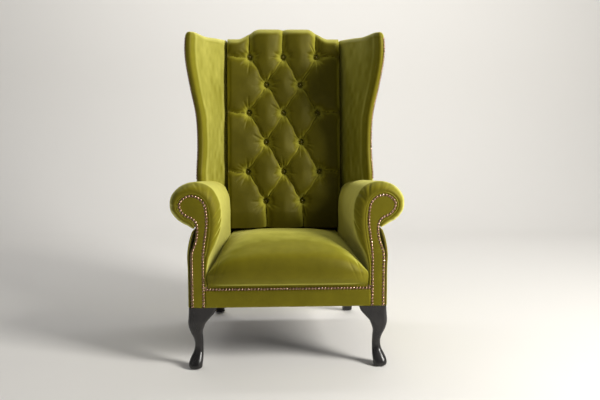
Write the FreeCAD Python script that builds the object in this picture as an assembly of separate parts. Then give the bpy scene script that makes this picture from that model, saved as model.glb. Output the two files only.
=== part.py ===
import FreeCAD, Part
import math
import os
from FreeCAD import Vector

# Wingback armchair: front towards -Y, floor at Z = 0, millimetres

# Overall sizes
leg_height = 228.0            # floor to the underside of the seat frame
front_y = -362.0              # front face of the seat frame
body_half_front = 360.0       # centre line to the outside arm panel, at the front
body_taper = 0.06             # how much each side draws in per mm of depth
back_half = 238.0             # half width of the tufted inside back
back_plane_y = 174.0          # button plane of the back below its bend
back_bend = 272.0             # height of the bend above the seat frame's underside
back_slope = 0.148            # rake above the bend, run over rise
foam_behind_buttons = 60.0    # button plane to the webbing
clearance = 0.3               # small gap between neighbouring pieces
cloth = 3.0                   # velvet with its wadding
panel = 4.0                   # covered outside panels

# Wooden frame
rail_height = 78.0
rail_thickness = 26.0
front_rail_thickness = 28.0
side_rail_gap = 0.5           # outside panel to the side rail
stump_margin = 4.5            # nail line to the edge of the stump
stump_thickness = 36.0
post_thickness = 45.0
post_width = 60.0             # at the seat frame
post_head_width = 44.0        # above the neck of the outside arm panel
post_inset = 12.0             # inside back to the post
webbing = 1.0
block_height = 60.0
block_lift = 8.0
block_reach = 80.0
front_block_extra = 18.0      # block's further reach along the front rail
rear_block_extra = 10.0
front_bolt_inset = 52.0       # leg bolt from the body's side
front_bolt_back = 26.0        # leg bolt behind the stump

# Seat
seat_cover_drop = 15.0        # seat cover below the top of the front rail
seat_side_gap = 4.0
seat_low = 117.0              # height where the seat starts to crown
seat_side_power = 4
seat_bulge_power = 6
seat_lip = 16.0
seat_deck = 85.0              # underside of the seat foam
seat_stations = 10
# forward and up from the front face and underside; share of the crown kept at the arms
seat_profile = [
    (26.0, 92.0, 0.12), (44.0, 117.0, 0.12), (49.0, 147.0, 0.12),
    (36.0, 184.0, 0.12), (-22.0, 224.0, 0.12), (-122.0, 249.0, 0.15),
    (-262.0, 241.0, 0.35), (-537.0, 190.0, 0.95)]

dust_cloth = 1.0
dust_gap = 5.0                # dust cover to the legs and frame edges
dust_lap = 12.0               # dust cover's hold on the rails

# Springs and deck
spring_count = 5
spring_spacing = 92.0
spring_wire = 3.6
spring_half_width = 24.0
spring_turn = 11.0
spring_lift = 3.0
clip_length = 14.0
clip_width = 20.0
clip_height = 6.0
clip_margin = 1.0
hessian = 1.0
hessian_lap = 12.0            # over the front rail
hessian_gap = 2.0             # short of the back frame

# Arm roll: offsets from the body's front corner (outside face, frame underside)
arm_roll = [
    (-72.0, 136.0), (-81.0, 184.0), (-104.0, 234.0), (-121.5, 312.0), (-114.0, 388.0),
    (-84.0, 436.0), (-30.0, 455.0), (25.0, 439.0), (60.0, 396.0), (59.0, 349.0),
    (30.0, 313.0), (2.0, 297.0), (-20.0, 285.0)]
# the first six of those points, measured from the inside back where the arm ends
arm_roll_rear = [-10.0, -10.0, -9.5, -10.0, -2.0, 24.0]
arm_bottom = 79.5
arm_fall = 0.105              # how much the top of the arm drops per mm of depth
arm_edge_depth = 34.0         # depth of the rolled front edge
arm_rear_y = 130.0
arm_tuck_y = 150.0
arm_rail_width = 34.0
arm_rail_height = 40.0
arm_rail_offset = -42.0
arm_rail_lift = 357.0

# Nail line of the arm facing, same offsets
facing_line = [
    (-54.5, 177.0), (-58.0, 220.0), (-65.5, 272.0), (-69.5, 325.0), (-65.0, 369.0),
    (-46.0, 398.0), (-15.0, 408.0), (10.0, 399.0), (26.0, 376.0), (19.0, 354.0),
    (-4.0, 334.0), (-25.0, 322.0), (-36.0, 300.0), (-35.0, 262.0), (-26.0, 227.0),
    (-17.0, 202.0), (-15.0, 177.0)]
facing_margin = 5.5           # nail line to the edge of the facing
facing_thickness = 4.0
border_crown = 1.5            # swell of the band below the seat
cover_lift = 1.0              # covers stop this far above the frame's underside
panel_neck = 202.0            # height where the outside arm panel starts to curve in

# Nails
nail_radius = 5.25
nail_rise = 3.0
nail_pitch = 11.4
nail_shank = 0.9
nail_depth = 9.0
hole_room = 0.1

# Tufted back
button_rows = [922.0, 805.0, 687.0, 562.0, 437.0, 313.0]
button_pitch_top = 142.0
button_pitch_bottom = 155.0
button_radius = 9.5
button_rise = 6.0
button_seat = 10.5            # button's base in front of the button plane
pleat_gap = 0.06              # share of a diamond left flat under a button
pleat_rise = 14.0
crown_rise = 35.0
channel_depth = 8.0
channel_rise = 27.0
edge_depth = 10.0             # the pad's sides, in front of the button plane
edge_start = 0.55
tuft_steps = 8                # stations from a button column to the next
side_steps = 8
back_bottom = 205.0
crest_shoulder = 1000.0
crest_hump = 42.0
crest_hump_inner = 104.0
crest_hump_outer = 166.0
crest_front_drop = 32.0
crest_rail_drop = 20.0
crest_rail_height = 62.0
crest_top_depth = 26.0
lumbar_rail_bottom = 200.0
lumbar_rail_height = 50.0
twine_radius = 1.0
web_width = 50.0
web_lap = 16.0                # webbing's hold on the rails and posts
web_rows = [300.0, 440.0, 580.0, 720.0, 860.0]
web_columns = [-140.0, 0.0, 140.0]

# Wings: height above the frame's underside, outward from the body's front corner
wing_outer = [(450.0, -4.0), (562.0, -8.0), (682.0, -4.0), (785.0, 12.0),
              (890.0, 25.0), (950.0, 26.0), (1000.0, 22.0)]
# height above the frame's underside, front edge behind the seat frame's front face
wing_front = [(450.0, 342.0), (552.0, 366.0), (642.0, 371.0), (732.0, 353.0),
              (822.0, 317.0), (922.0, 283.0), (1000.0, 286.0)]
wing_bottom = 380.0            # below the arm, which the wing is fitted over
wing_top = 996.0
wing_edge = 38.0              # width of the rolled front edge
wing_hollow = 5.0
wing_root_depth = 22.0
wing_steps = 14
wing_round = [(20.0, 0.0), (9.0, 2.0), (3.0, 5.5), (0.0, 10.0)]
wing_post_width = 19.5
wing_post_depth = 34.0
wing_post_inset = 11.0
outside_lean = 6.0            # how much the outside back draws in at the shoulder
shoulder_gap = 2.0
wing_post_back = 15.0
wing_rail_height = 32.0
wing_rail_drop = 34.0
wing_nail_bottom = 433.0
wing_nail_top = 975.0

# Legs
sole = 3.0                    # thickness of a glide
glide_radius = 13.0
glide_pin = 2.5
glide_pin_length = 14.0
# share of the leg's height, then inner and outer edges measured in from the body's side
leg_profile = [
    (0.0, 46.0, 0.0, 9.0), (0.05, 46.0, -3.0, 12.0), (0.11, 48.0, -1.0, 12.0),
    (0.17, 49.0, 5.0, 12.0), (0.25, 49.0, 14.0, 10.0), (0.38, 49.0, 18.5, 9.0),
    (0.48, 48.5, 14.0, 10.0), (0.58, 48.0, 5.0, 12.0), (0.67, 54.0, -1.0, 14.0),
    (0.75, 62.0, -3.0, 14.0), (0.83, 78.0, -2.0, 12.0), (0.93, 96.0, 0.0, 9.0),
    (1.0, 101.0, 1.0, 6.0)]
foot_reach = 12.0             # how far the front foot steps forward
foot_share = 0.25             # share of the leg that steps forward
leg_forward = 4.0             # front legs stand this far in front of the frame
rear_leg_inset = 66.5         # body's front corner to the middle of a rear leg
rear_leg_top = 46.0
rear_leg_ankle = 37.0
rear_leg_foot = 43.0
rear_leg_kick = 116.0
rear_leg_steps = 12
rear_leg_radius = 5.0
bolt_radius = 4.0
bolt_room = 0.3
bolt_below = 45.0
nut_radius = 7.5
nut_height = 6.0

straight_limit = 0.01
far = 600.0


def up(height):
    return leg_height + height


def plane_y(z):
    return back_plane_y + max(0.0, z - up(back_bend)) * back_slope


def body_out(y):
    return body_half_front - body_taper * (y - front_y)


def mix(a, b, share):
    return a + (b - a) * share


# Smooth curve through a short list of (position, value) pairs
def along(pairs, position):
    last = len(pairs) - 1
    if position <= pairs[0][0]:
        return pairs[0][1]
    if position >= pairs[last][0]:
        return pairs[last][1]
    i = max(k for k in range(last) if pairs[k][0] <= position)
    (p0, v0), (p1, v1) = pairs[i], pairs[i + 1]
    before, after = pairs[max(i - 1, 0)], pairs[min(i + 2, last)]
    slope0 = (v1 - before[1]) / (p1 - before[0])
    slope1 = (after[1] - v0) / (after[0] - p0)
    span = p1 - p0
    t = (position - p0) / span
    return ((2 * t**3 - 3 * t**2 + 1) * v0 + (t**3 - 2 * t**2 + t) * span * slope0
            + (3 * t**2 - 2 * t**3) * v1 + (t**3 - t**2) * span * slope1)


# Points of an open line moved to its left by a distance
def shifted(points, distance):
    result = []
    last = len(points) - 1
    for i, (a, b) in enumerate(points):
        before = points[max(i - 1, 0)]
        after = points[min(i + 1, last)]
        da, db = after[0] - before[0], after[1] - before[1]
        size = math.hypot(da, db)
        result.append((a - distance * db / size, b + distance * da / size))
    return result


def bend(start, through, end):
    chord = end - start
    if chord.cross(through - start).Length < straight_limit * chord.Length:
        return Part.makeLine(start, end)
    return Part.Arc(start, through, end).toShape()


# Arcs through an odd number of points, three at a time
def arcs(points):
    return [bend(*points[i:i + 3]) for i in range(0, len(points) - 2, 2)]


def lines(points):
    return [Part.makeLine(a, b) for a, b in zip(points, points[1:])]


def loft(wires):
    return Part.makeLoft(wires, True, True)


def prism(points, direction):
    face = Part.Face(Part.makePolygon(points + points[:1]))
    return face.extrude(direction)


def box(x0, x1, y0, y1, z0, z1):
    return Part.makeBox(x1 - x0, y1 - y0, z1 - z0, Vector(x0, y0, z0))


def mirrored(shape):
    return shape.mirror(Vector(0, 0, 0), Vector(1, 0, 0))


# Slab that follows the rake of the back, between two depths behind the button plane
def raked_slab(front, back, z0, z1):
    heights = [z0, up(back_bend), z1] if z0 < up(back_bend) < z1 else [z0, z1]
    outline = [Vector(-far, plane_y(z) + front, z) for z in heights]
    outline += [Vector(-far, plane_y(z) + back, z) for z in reversed(heights)]
    return prism(outline, Vector(2 * far, 0, 0))


def dome_nail(place, direction):
    ball = (nail_radius**2 + nail_rise**2) / (2 * nail_rise)
    angle = math.degrees(math.asin((ball - nail_rise) / ball))
    outward = Vector(direction).normalize()
    centre = place - outward * (ball - nail_rise)
    head = Part.makeSphere(ball, centre, outward, angle, 90, 360)
    shank = Part.makeCylinder(nail_shank, nail_depth, place, outward * -1)
    return head.fuse(shank)


def nail_hole(place, direction):
    outward = Vector(direction).normalize()
    start = place + outward
    return Part.makeCylinder(nail_shank + hole_room, nail_depth + 1.5, start, outward * -1)


def drilled(shape, holes):
    return shape.cut(Part.makeCompound(holes)) if holes else shape


# Seat frame

frame_top = up(rail_height)
post_front = foam_behind_buttons + 2 * webbing
post_back = post_front + post_thickness
post_inner = back_half + post_inset
back_frame_y = back_plane_y + post_front
stump_back = front_y + stump_thickness
front_rail_back = front_y + front_rail_thickness


def facing_points(margin):
    points = [(body_half_front + dx, up(dz)) for dx, dz in facing_line]
    inner, outer = points[0][0], points[-1][0]
    line = [(inner, up(0))] + points + [(outer, up(0))]
    moved = shifted(line, margin)
    return [(moved[0][0], up(0))] + moved[1:-1] + [(moved[-1][0], up(0))]


def facing_wire(margin, y, bottom):
    points = [Vector(x, y, max(z, bottom)) for x, z in facing_points(margin)]
    edges = lines(points[:2]) + arcs(points[1:-1]) + lines(points[-2:])
    return Part.Wire(edges + lines([points[-1], points[0]]))


stump_inner = facing_points(stump_margin)[0][0]


def side_rail_outer(y):
    return body_out(y) - panel - side_rail_gap


def side_rail_inner(y):
    return side_rail_outer(y) - rail_thickness


def front_rail():
    half = stump_inner - clearance
    return box(-half, half, front_y, front_rail_back, up(0), frame_top)


def back_rail():
    half = post_inner - clearance
    room = box(-half, half, 0, far, up(0), frame_top)
    return raked_slab(post_front, post_front + rail_thickness, up(0), frame_top).common(room)


def side_rail():
    y0, y1 = stump_back + clearance, back_frame_y - clearance
    outline = [Vector(side_rail_outer(y0), y0, up(0)), Vector(side_rail_outer(y1), y1, up(0)),
               Vector(side_rail_inner(y1), y1, up(0)), Vector(side_rail_inner(y0), y0, up(0))]
    return prism(outline, Vector(0, 0, rail_height))


def front_stump():
    face = Part.Face(facing_wire(stump_margin, front_y, up(0)))
    return face.extrude(Vector(0, stump_thickness, 0))


def arm_rail():
    middle = body_half_front + arm_rail_offset
    rear_foot = up(fallen(arm_rail_lift, back_frame_y))
    y0, y1 = stump_back + clearance, plane_y(rear_foot) + post_front - 2 * clearance
    half = arm_rail_width / 2
    wires = []
    for y in (y0, y1):
        x, z = middle - body_taper * (y - y0), up(fallen(arm_rail_lift, y))
        top = z + arm_rail_height
        corners = [(x - half, z), (x + half, z), (x + half, top), (x - half, top)]
        points = [Vector(px, y, pz) for px, pz in corners]
        wires.append(Part.Wire(lines(points + points[:1])))
    return loft(wires)


def back_post():
    top = up(wing_top) - cloth - shoulder_gap - 1.0
    foot = box(post_inner, post_inner + post_width, 0, far, up(0), up(panel_neck))
    head = box(post_inner, post_inner + post_head_width, 0, far, up(panel_neck), top)
    return raked_slab(post_front, post_back, up(0), top).common(foot.fuse(head))


def crest_height(x):
    share = (crest_hump_outer - abs(x)) / (crest_hump_outer - crest_hump_inner)
    share = min(max(share, 0.0), 1.0)
    return up(crest_shoulder) + crest_hump * (3 * share**2 - 2 * share**3)


def crest_points(drop, half, y):
    steps = 24
    return [Vector(x, y, crest_height(x) - drop)
            for x in (mix(-half, half, i / steps) for i in range(steps + 1))]


def crest_rail():
    half = post_inner - clearance
    low = up(crest_shoulder) - crest_rail_drop - crest_rail_height
    top = crest_points(crest_rail_drop + cloth + clearance, half, 0)
    outline = top + [Vector(half, 0, low), Vector(-half, 0, low)]
    board = prism(outline, Vector(0, far, 0))
    return raked_slab(post_front, post_back, up(back_bend), up(crest_shoulder + 2 * crest_hump)).common(board)


def lumbar_rail():
    half = post_inner - clearance
    z0 = up(lumbar_rail_bottom)
    room = box(-half, half, 0, far, z0, z0 + lumbar_rail_height)
    return raked_slab(post_front, post_front + rail_thickness, z0, z0 + lumbar_rail_height).common(room)


def front_block_outline():
    y0, y1 = stump_back + clearance, stump_back + block_reach
    edge = front_rail_back + clearance
    return [(side_rail_inner(y0) - clearance, y0), (side_rail_inner(y1) - clearance, y1),
            (side_rail_inner(y1) - clearance - block_reach - front_block_extra, edge),
            (stump_inner - clearance, edge), (stump_inner - clearance, y0)]


def rear_block_outline():
    y1 = back_frame_y - clearance
    y0 = y1 - block_reach
    return [(side_rail_inner(y1) - clearance, y1), (side_rail_inner(y0) - clearance, y0),
            (side_rail_inner(y1) - clearance - block_reach - rear_block_extra, y1)]


front_bolt = (body_half_front - front_bolt_inset, stump_back + front_bolt_back)
rear_leg_x = body_half_front - rear_leg_inset
rear_leg_top_y = back_plane_y + post_front + rear_leg_top / 2
rear_bolt = (rear_leg_x, rear_leg_top_y)


def corner_blocks():
    z = up(block_lift)
    front = prism([Vector(x, y, z) for x, y in front_block_outline()], Vector(0, 0, block_height))
    rear = prism([Vector(x, y, z) for x, y in rear_block_outline()], Vector(0, 0, block_height))
    hole = Part.makeCylinder(bolt_radius + bolt_room, block_height + 10, Vector(*front_bolt, z - 5))
    blocks = [front.cut(hole), rear]
    return Part.makeCompound(blocks + [mirrored(b) for b in blocks])


# Springs, clips and deck

spring_z = frame_top + spring_lift
clip_front_y = front_rail_back - clip_length - clip_margin
clip_back_y = back_frame_y + clip_margin


def spring_rows():
    return [(i - (spring_count - 1) / 2) * spring_spacing for i in range(spring_count)]


def sinuous_spring(x):
    y0 = clip_front_y + clip_length / 2
    y1 = clip_back_y + clip_length / 2
    turns = int((y1 - y0 - 4 * spring_turn) / (2 * spring_turn))
    turns -= turns % 2
    lead = (y1 - y0 - turns * 2 * spring_turn) / 2
    reach = spring_half_width - spring_turn
    edges = []
    y = y0 + lead
    edges += lines([Vector(x, y0, spring_z), Vector(x, y - spring_turn, spring_z)])
    side = 1
    corner = spring_turn * (1 - math.sqrt(0.5))
    edges.append(Part.Arc(Vector(x, y - spring_turn, spring_z),
                          Vector(x + corner, y - corner, spring_z),
                          Vector(x + spring_turn, y, spring_z)).toShape())
    start = Vector(x + spring_turn, y, spring_z)
    for i in range(turns):
        end = Vector(x + side * reach, y, spring_z)
        edges += lines([start, end])
        tip = Vector(x + side * spring_half_width, y + spring_turn, spring_z)
        y += 2 * spring_turn
        start = Vector(x + side * reach, y, spring_z)
        edges.append(Part.Arc(end, tip, start).toShape())
        side = -side
    end = Vector(x - spring_turn, y, spring_z)
    edges += lines([start, end])
    edges.append(Part.Arc(end, Vector(x - corner, y + corner, spring_z),
                          Vector(x, y + spring_turn, spring_z)).toShape())
    edges += lines([Vector(x, y + spring_turn, spring_z), Vector(x, y1, spring_z)])
    path = Part.Wire(edges)
    ring = Part.Wire(Part.makeCircle(spring_wire / 2, Vector(x, y0, spring_z), Vector(0, 1, 0)))
    return path.makePipeShell([ring], True, False)


def seat_springs():
    first = sinuous_spring(0)
    return Part.makeCompound([first.translated(Vector(x, 0, 0)) for x in spring_rows()])


def spring_clips():
    clips = []
    for x in spring_rows():
        for y in (clip_front_y, clip_back_y):
            body = box(x - clip_width / 2, x + clip_width / 2, y, y + clip_length,
                       frame_top, frame_top + clip_height)
            hole = Part.makeCylinder(spring_wire / 2 + clearance, clip_length + 10,
                                     Vector(x, y - 5, spring_z), Vector(0, 1, 0))
            clips.append(body.cut(hole))
    return Part.makeCompound(clips)


def seat_half(y):
    share = (y - front_y - arm_edge_depth) / (arm_rear_y - front_y - arm_edge_depth)
    return mix(body_half_front + arm_roll[0][0], back_half + arm_roll_rear[0], share) - seat_side_gap


def seat_hessian():
    y0, y1 = front_rail_back - hessian_lap, back_frame_y - hessian_gap
    z = frame_top + clip_height
    outline = [Vector(-seat_half(y0), y0, z), Vector(seat_half(y0), y0, z),
               Vector(seat_half(y1), y1, z), Vector(-seat_half(y1), y1, z)]
    return prism(outline, Vector(0, 0, hessian))


def seat_station(s):
    low = up(seat_low)
    bulge = 1 - abs(s) ** seat_bulge_power
    crown = 1 - abs(s) ** seat_side_power
    front = front_y - cloth - 0.7
    points = [(front, frame_top - seat_cover_drop), (front, frame_top + 0.5)]
    for forward, height, keep in seat_profile:
        y = front_y - forward
        if forward > 0:
            y = mix(front - 2.0 * forward / seat_lip, y, bulge)
        z = up(height)
        if z > low:
            z = low + (z - low) * mix(keep, 1.0, crown)
        points.append((y, z))
    return points


def fanned(points, s):
    return [Vector(s * seat_half(y), y, z) for y, z in points]


def seat_chain(s, inset):
    points = seat_station(s)
    return fanned(shifted(points, -inset), s)


def seat_cover():
    wires = []
    for i in range(-seat_stations, seat_stations + 1):
        s = seat_share(i)
        outer, inner = seat_chain(s, 0), seat_chain(s, cloth)
        edges = lines(outer[:2]) + arcs(outer[1:])
        edges += lines([outer[-1], inner[-1]])
        edges += [e for e in arcs(inner[1:])[::-1]] + lines(inner[:2])
        edges += lines([inner[0], outer[0]])
        wires.append(Part.Wire(Part.__sortEdges__(edges)))
    return loft(wires)


def seat_share(i):
    t = i / seat_stations
    return math.copysign(1 - (1 - abs(t)) ** 1.5, t) if i else 0.0


def seat_foam():
    wires = []
    deck = up(seat_deck)
    for i in range(-seat_stations, seat_stations + 1):
        s = seat_share(i)
        chain = seat_chain(s, cloth)
        end_y = chain[-1].y
        lip = fanned([(end_y, deck), (front_y + seat_lip, deck)], s)
        edges = arcs(chain[1:]) + lines([chain[-1]] + lip + [chain[1]])
        wires.append(Part.Wire(edges))
    return loft(wires)


def front_border():
    half = facing_points(facing_margin)[0][0] - clearance
    z0, z1 = up(cover_lift), frame_top - seat_cover_drop - clearance
    back, front = front_y - 0.5, front_y - facing_thickness
    middle = Vector(-half, front - border_crown, (z0 + z1) / 2)
    edges = [bend(Vector(-half, front, z0), middle, Vector(-half, front, z1))]
    edges += lines([Vector(-half, front, z1), Vector(-half, back, z1),
                    Vector(-half, back, z0), Vector(-half, front, z0)])
    return Part.Face(Part.Wire(edges)).extrude(Vector(2 * half, 0, 0))


def dust_cover():
    z = up(-dust_cloth - 0.2)
    leg_reach = leg_profile[-1][1] + dust_gap
    inner = body_half_front - leg_reach
    y0, y1 = front_y + dust_gap, back_frame_y - dust_gap
    leg_y = front_y + leg_reach
    rear = rear_leg_x - rear_leg_top / 2 - dust_gap
    right = [(inner, y0), (inner, leg_y), (side_rail_inner(leg_y) + dust_lap, leg_y),
             (side_rail_inner(y1) + dust_lap, y1), (rear, y1), (rear, back_frame_y + dust_lap)]
    left = [(-x, y) for x, y in reversed(right)]
    return prism([Vector(x, y, z) for x, y in right + left], Vector(0, 0, dust_cloth))


# Tufted inside back

def button_pitch(z):
    top, bottom = up(button_rows[0]), up(button_rows[-1])
    return mix(button_pitch_top, button_pitch_bottom, (top - z) / (top - bottom))


# A station is a plane: its distance from the middle changes evenly with height
def tuft_x(station, z):
    s, side = station
    return mix(s * button_pitch(z), math.copysign(back_half, s), side)


def tuft_stations():
    inner = [(i / (2 * tuft_steps), 0.0) for i in range(-2 * tuft_steps, 2 * tuft_steps + 1)]
    outer = [(1.0, (i / side_steps)) for i in range(1, side_steps + 1)]
    return [(-s, w) for s, w in reversed(outer)] + inner + outer


# 0 on the three-button columns, 1 on the two-button columns
def column_share(s):
    share = 1 - abs(abs(s) - 0.5) / 0.5
    return min(max(share, pleat_gap), 1 - pleat_gap)


def crossing_height(k, share):
    three, two = (k, k + 1) if k % 2 == 0 else (k + 1, k)
    return up(mix(button_rows[three], button_rows[two], share))


# How far the pad falls back towards its sides
def side_fall(side):
    t = max(0.0, (side - edge_start) / (1 - edge_start))
    return 1 - t**2


def crease_depth(share, side):
    if side > 0:
        rise = 1.6 * pleat_rise * math.sin(math.pi / 2 * min(side / edge_start, 1.0)) ** 2
        return -edge_depth - (rise - edge_depth) * side_fall(side) if side > edge_start else -rise
    return -pleat_rise * math.sin(math.pi * share) ** 2


def crown_depth(length, full, ends, side):
    ratio = min(length / full, 1.0)
    depth = mix(ends, -crown_rise, ratio)
    return mix(-edge_depth, depth, side_fall(side))


def channel_share(s, side, offset):
    if side > 0:
        return max(math.sin(math.pi / 2 * min(side / 0.5, 1.0)) if offset == 0 else 1.0, 0.05)
    return abs(math.sin(math.pi * (abs(s) + offset))) ** 0.6


def channel_level(share, side, depth, rise):
    return mix(-edge_depth, -(depth + rise * share), side_fall(side))


# Outline of the pad at one station as depth and height pairs
def tuft_outline(station):
    s, side = station
    share = column_share(s) if side == 0 else pleat_gap
    up_share = channel_share(s, side, 0)
    down_share = channel_share(s, side, 0.5)
    low = up(back_bottom)
    heights = [crossing_height(k, share) for k in range(5)]
    depths = [crease_depth(share, side)] * 5
    points = [(channel_level(down_share, side, channel_depth, 0.6 * channel_rise), low),
              (channel_level(down_share, side, channel_depth, channel_rise), mix(low, heights[4], 0.5))]
    for k in (4, 3, 2, 1, 0):
        points.append((depths[k], heights[k]))
        if k > 0:
            full = up(button_rows[k - 1]) - up(button_rows[min(k + 1, 5)])
            length = heights[k - 1] - heights[k]
            points.append((crown_depth(length, full, depths[k], side), (heights[k] + heights[k - 1]) / 2))
    top = crest_height(tuft_x(station, up(crest_shoulder)))
    front_z = top - crest_front_drop
    front = channel_level(up_share, side, channel_depth, 0.8 * channel_rise)
    level = channel_level(up_share, side, channel_depth, channel_rise)
    points.append((level, mix(heights[0], front_z, 0.55)))
    points.append((front, front_z))
    points.append((mix(front, crest_top_depth, 0.3), mix(front_z, top, 0.76)))
    points.append((crest_top_depth, top))
    points.append((mix(crest_top_depth, post_back, 0.72), mix(top, top - crest_rail_drop, 0.36)))
    points.append((post_back, top - crest_rail_drop))
    return points


def placed(points, station):
    return [Vector(tuft_x(station, z), plane_y(z) + depth, z) for depth, z in points]


def tuft_inner(points):
    front = [(d + cloth, z) for d, z in points[:-4]]
    roll = [(points[-4][0] + 0.7 * cloth, points[-4][1] - 0.7 * cloth),
            (points[-3][0], points[-3][1] - cloth),
            (points[-2][0] - 0.3 * cloth, points[-2][1] - cloth),
            (points[-1][0] - cloth, points[-1][1])]
    return front + roll


def inside_back_cover():
    wires = []
    for station in tuft_stations():
        points = tuft_outline(station)
        outer, inner = placed(points, station), placed(tuft_inner(points), station)
        edges = arcs(outer) + lines([outer[-1], inner[-1]])
        edges += arcs(inner[::-1]) + lines([inner[0], outer[0]])
        wires.append(Part.Wire(edges))
    return loft(wires)


def back_foam():
    wires = []
    for station in tuft_stations():
        points = tuft_inner(tuft_outline(station))
        low, top = points[0][1], points[-1][1]
        inner = placed(points, station)
        back = placed([(foam_behind_buttons, z) for z in (top, up(back_bend), low)], station)
        wires.append(Part.Wire(arcs(inner) + lines([inner[-1]] + back + [inner[0]])))
    return loft(wires)


def button_places():
    places = []
    for row, height in enumerate(button_rows):
        z = up(height)
        columns = (-1, 0, 1) if row % 2 == 0 else (-0.5, 0.5)
        places += [(c * button_pitch(z), z) for c in columns]
    return places


def back_axis():
    return Vector(0, -1, back_slope).normalize()


def back_buttons():
    axis = back_axis()
    ball = (button_radius**2 + button_rise**2) / (2 * button_rise)
    angle = math.degrees(math.asin((ball - button_rise) / ball))
    buttons = []
    for x, z in button_places():
        base = Vector(x, plane_y(z), z) + axis * button_seat
        head = Part.makeSphere(ball, base - axis * (ball - button_rise), axis, angle, 90, 360)
        buttons.append(head)
    return Part.makeCompound(buttons)


def twine_holes():
    axis = back_axis()
    room = twine_radius + clearance
    return [Part.makeCylinder(room, 2 * foam_behind_buttons,
                              Vector(x, plane_y(z), z) + axis * foam_behind_buttons / 3, axis * -1)
            for x, z in button_places()]


def button_twines():
    axis = back_axis()
    twines = []
    for x, z in button_places():
        start = Vector(x, plane_y(z), z) + axis * (button_seat - clearance)
        length = foam_behind_buttons + 2 * webbing + button_seat + 4.0
        cord = Part.makeCylinder(twine_radius, length, start, axis * -1)
        knot = Part.makeCylinder(2 * twine_radius + 2.0, 3.0, start - axis * length, axis * -1)
        twines.append(cord.fuse(knot))
    return Part.makeCompound(twines)


def back_webbing():
    top = up(crest_shoulder) - crest_rail_drop - web_lap
    bottom = up(lumbar_rail_bottom + web_lap)
    strips = []
    for height in web_rows:
        room = box(-post_inner - web_lap, post_inner + web_lap, 0, far, up(height), up(height) + web_width)
        slab = raked_slab(post_front - webbing, post_front - 0.1, up(height), up(height) + web_width)
        strips.append(slab.common(room))
    for x in web_columns:
        room = box(x - web_width / 2, x + web_width / 2, 0, far, bottom, top)
        slab = raked_slab(foam_behind_buttons + 0.1, post_front - webbing - 0.1, bottom, top)
        strips.append(slab.common(room))
    return Part.makeCompound(strips)


# Arms

# Height in the arm's section at some depth: the roll gets lower towards the back, its neck does not
def fallen(height, y):
    top = arm_roll[6][1]
    share = max(0.0, (height - panel_neck) / (top - panel_neck))
    return height - share * arm_fall * max(0.0, y - front_y - arm_edge_depth)


def arm_points(y):
    share = (y - front_y - arm_edge_depth) / (arm_rear_y - front_y - arm_edge_depth)
    points = []
    for i, (dx, dz) in enumerate(arm_roll):
        front_x = body_half_front + dx
        rear_x = front_x - body_taper * (arm_rear_y - front_y - arm_edge_depth)
        if i < len(arm_roll_rear):
            rear_x = back_half + arm_roll_rear[i]
        x = mix(front_x, rear_x, share)
        if y > arm_rear_y and i < len(arm_roll_rear):
            tuck = min((y - arm_rear_y) / (arm_tuck_y - arm_rear_y), 1.0)
            x = mix(rear_x, max(rear_x, back_half + 0.5), tuck)
        points.append((x, up(fallen(dz, y))))
    return [(points[0][0], up(arm_bottom))] + points


def arm_front_points():
    points = facing_points(facing_margin)[1:len(arm_roll) + 1]
    return [(points[0][0], up(arm_bottom))] + points


def arm_stations():
    stations = []
    for angle in (0, 25, 50, 70):
        a = math.radians(angle)
        stations.append((front_y + arm_edge_depth * (1 - math.cos(a)), math.sin(a)))
    full = front_y + arm_edge_depth
    stations += [(mix(full, arm_rear_y, i / 4), 1.0) for i in range(5)]
    stations += [(arm_tuck_y, 1.0), (back_frame_y + 2 * post_thickness, 1.0)]
    return stations


# Roll of the arm as a closed solid, shrunk by an inset, its open side pushed out by a spill
def arm_solid(inset, spill):
    wires = []
    for y, share in arm_stations():
        front, full = arm_front_points(), arm_points(max(y, front_y + arm_edge_depth))
        points = [(mix(a, c, share), mix(b, d, share)) for (a, b), (c, d) in zip(front, full)]
        points = shifted(points, -inset)
        points[0] = (points[0][0], up(arm_bottom) - spill)
        chain = [Vector(x, y, z) for x, z in points]
        close = [Vector(chain[-1].x + spill, y, chain[-1].z - spill - 1.0),
                 Vector(chain[0].x + 10.0 + spill, y, chain[0].z)]
        edges = lines(chain[:2]) + arcs(chain[1:]) + lines([chain[-1]] + close + [chain[0]])
        wires.append(Part.Wire(edges))
    return loft(wires)


def behind_back():
    return raked_slab(post_back - clearance, post_back + far, up(0), up(crest_shoulder))


def post_room():
    y = back_frame_y - clearance - 0.2
    foot = box(0, post_inner + post_width + 0.5, y, far, up(0), up(panel_neck))
    return foot.fuse(box(0, post_inner + post_head_width + 0.5, y, far, up(panel_neck), up(arm_roll[6][1])))


def inside_arm_cover():
    hollow = arm_solid(cloth, 8.0)
    cover = arm_solid(0.0, 0.0).cut(hollow).cut(front_stump()).cut(outside_arm_panel())
    return cover.cut(post_room()).cut(behind_back())


def arm_pad():
    pad = arm_solid(cloth + 0.05, 0.0)
    pad = pad.cut(front_stump()).cut(arm_rail()).cut(outside_arm_panel())
    return pad.cut(post_room()).cut(behind_back())


def facing_nails():
    points = [Vector(x, front_y, z) for x, z in facing_points(0)]
    bottom = up(nail_radius + cover_lift)
    points[0] = Vector(points[0].x, front_y, bottom)
    points[-1] = Vector(points[-1].x, front_y, bottom)
    path = Part.Wire(lines(points[:2]) + arcs(points[1:-1]) + lines(points[-2:]))
    count = int(path.Length / nail_pitch) + 1
    face = -facing_thickness - 0.5
    return [p + Vector(0, face, 0) for p in path.discretize(Number=count)]


def arm_facing():
    face = Part.Face(facing_wire(facing_margin, front_y - 0.2, up(cover_lift)))
    return face.extrude(Vector(0, -facing_thickness, 0))


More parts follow.
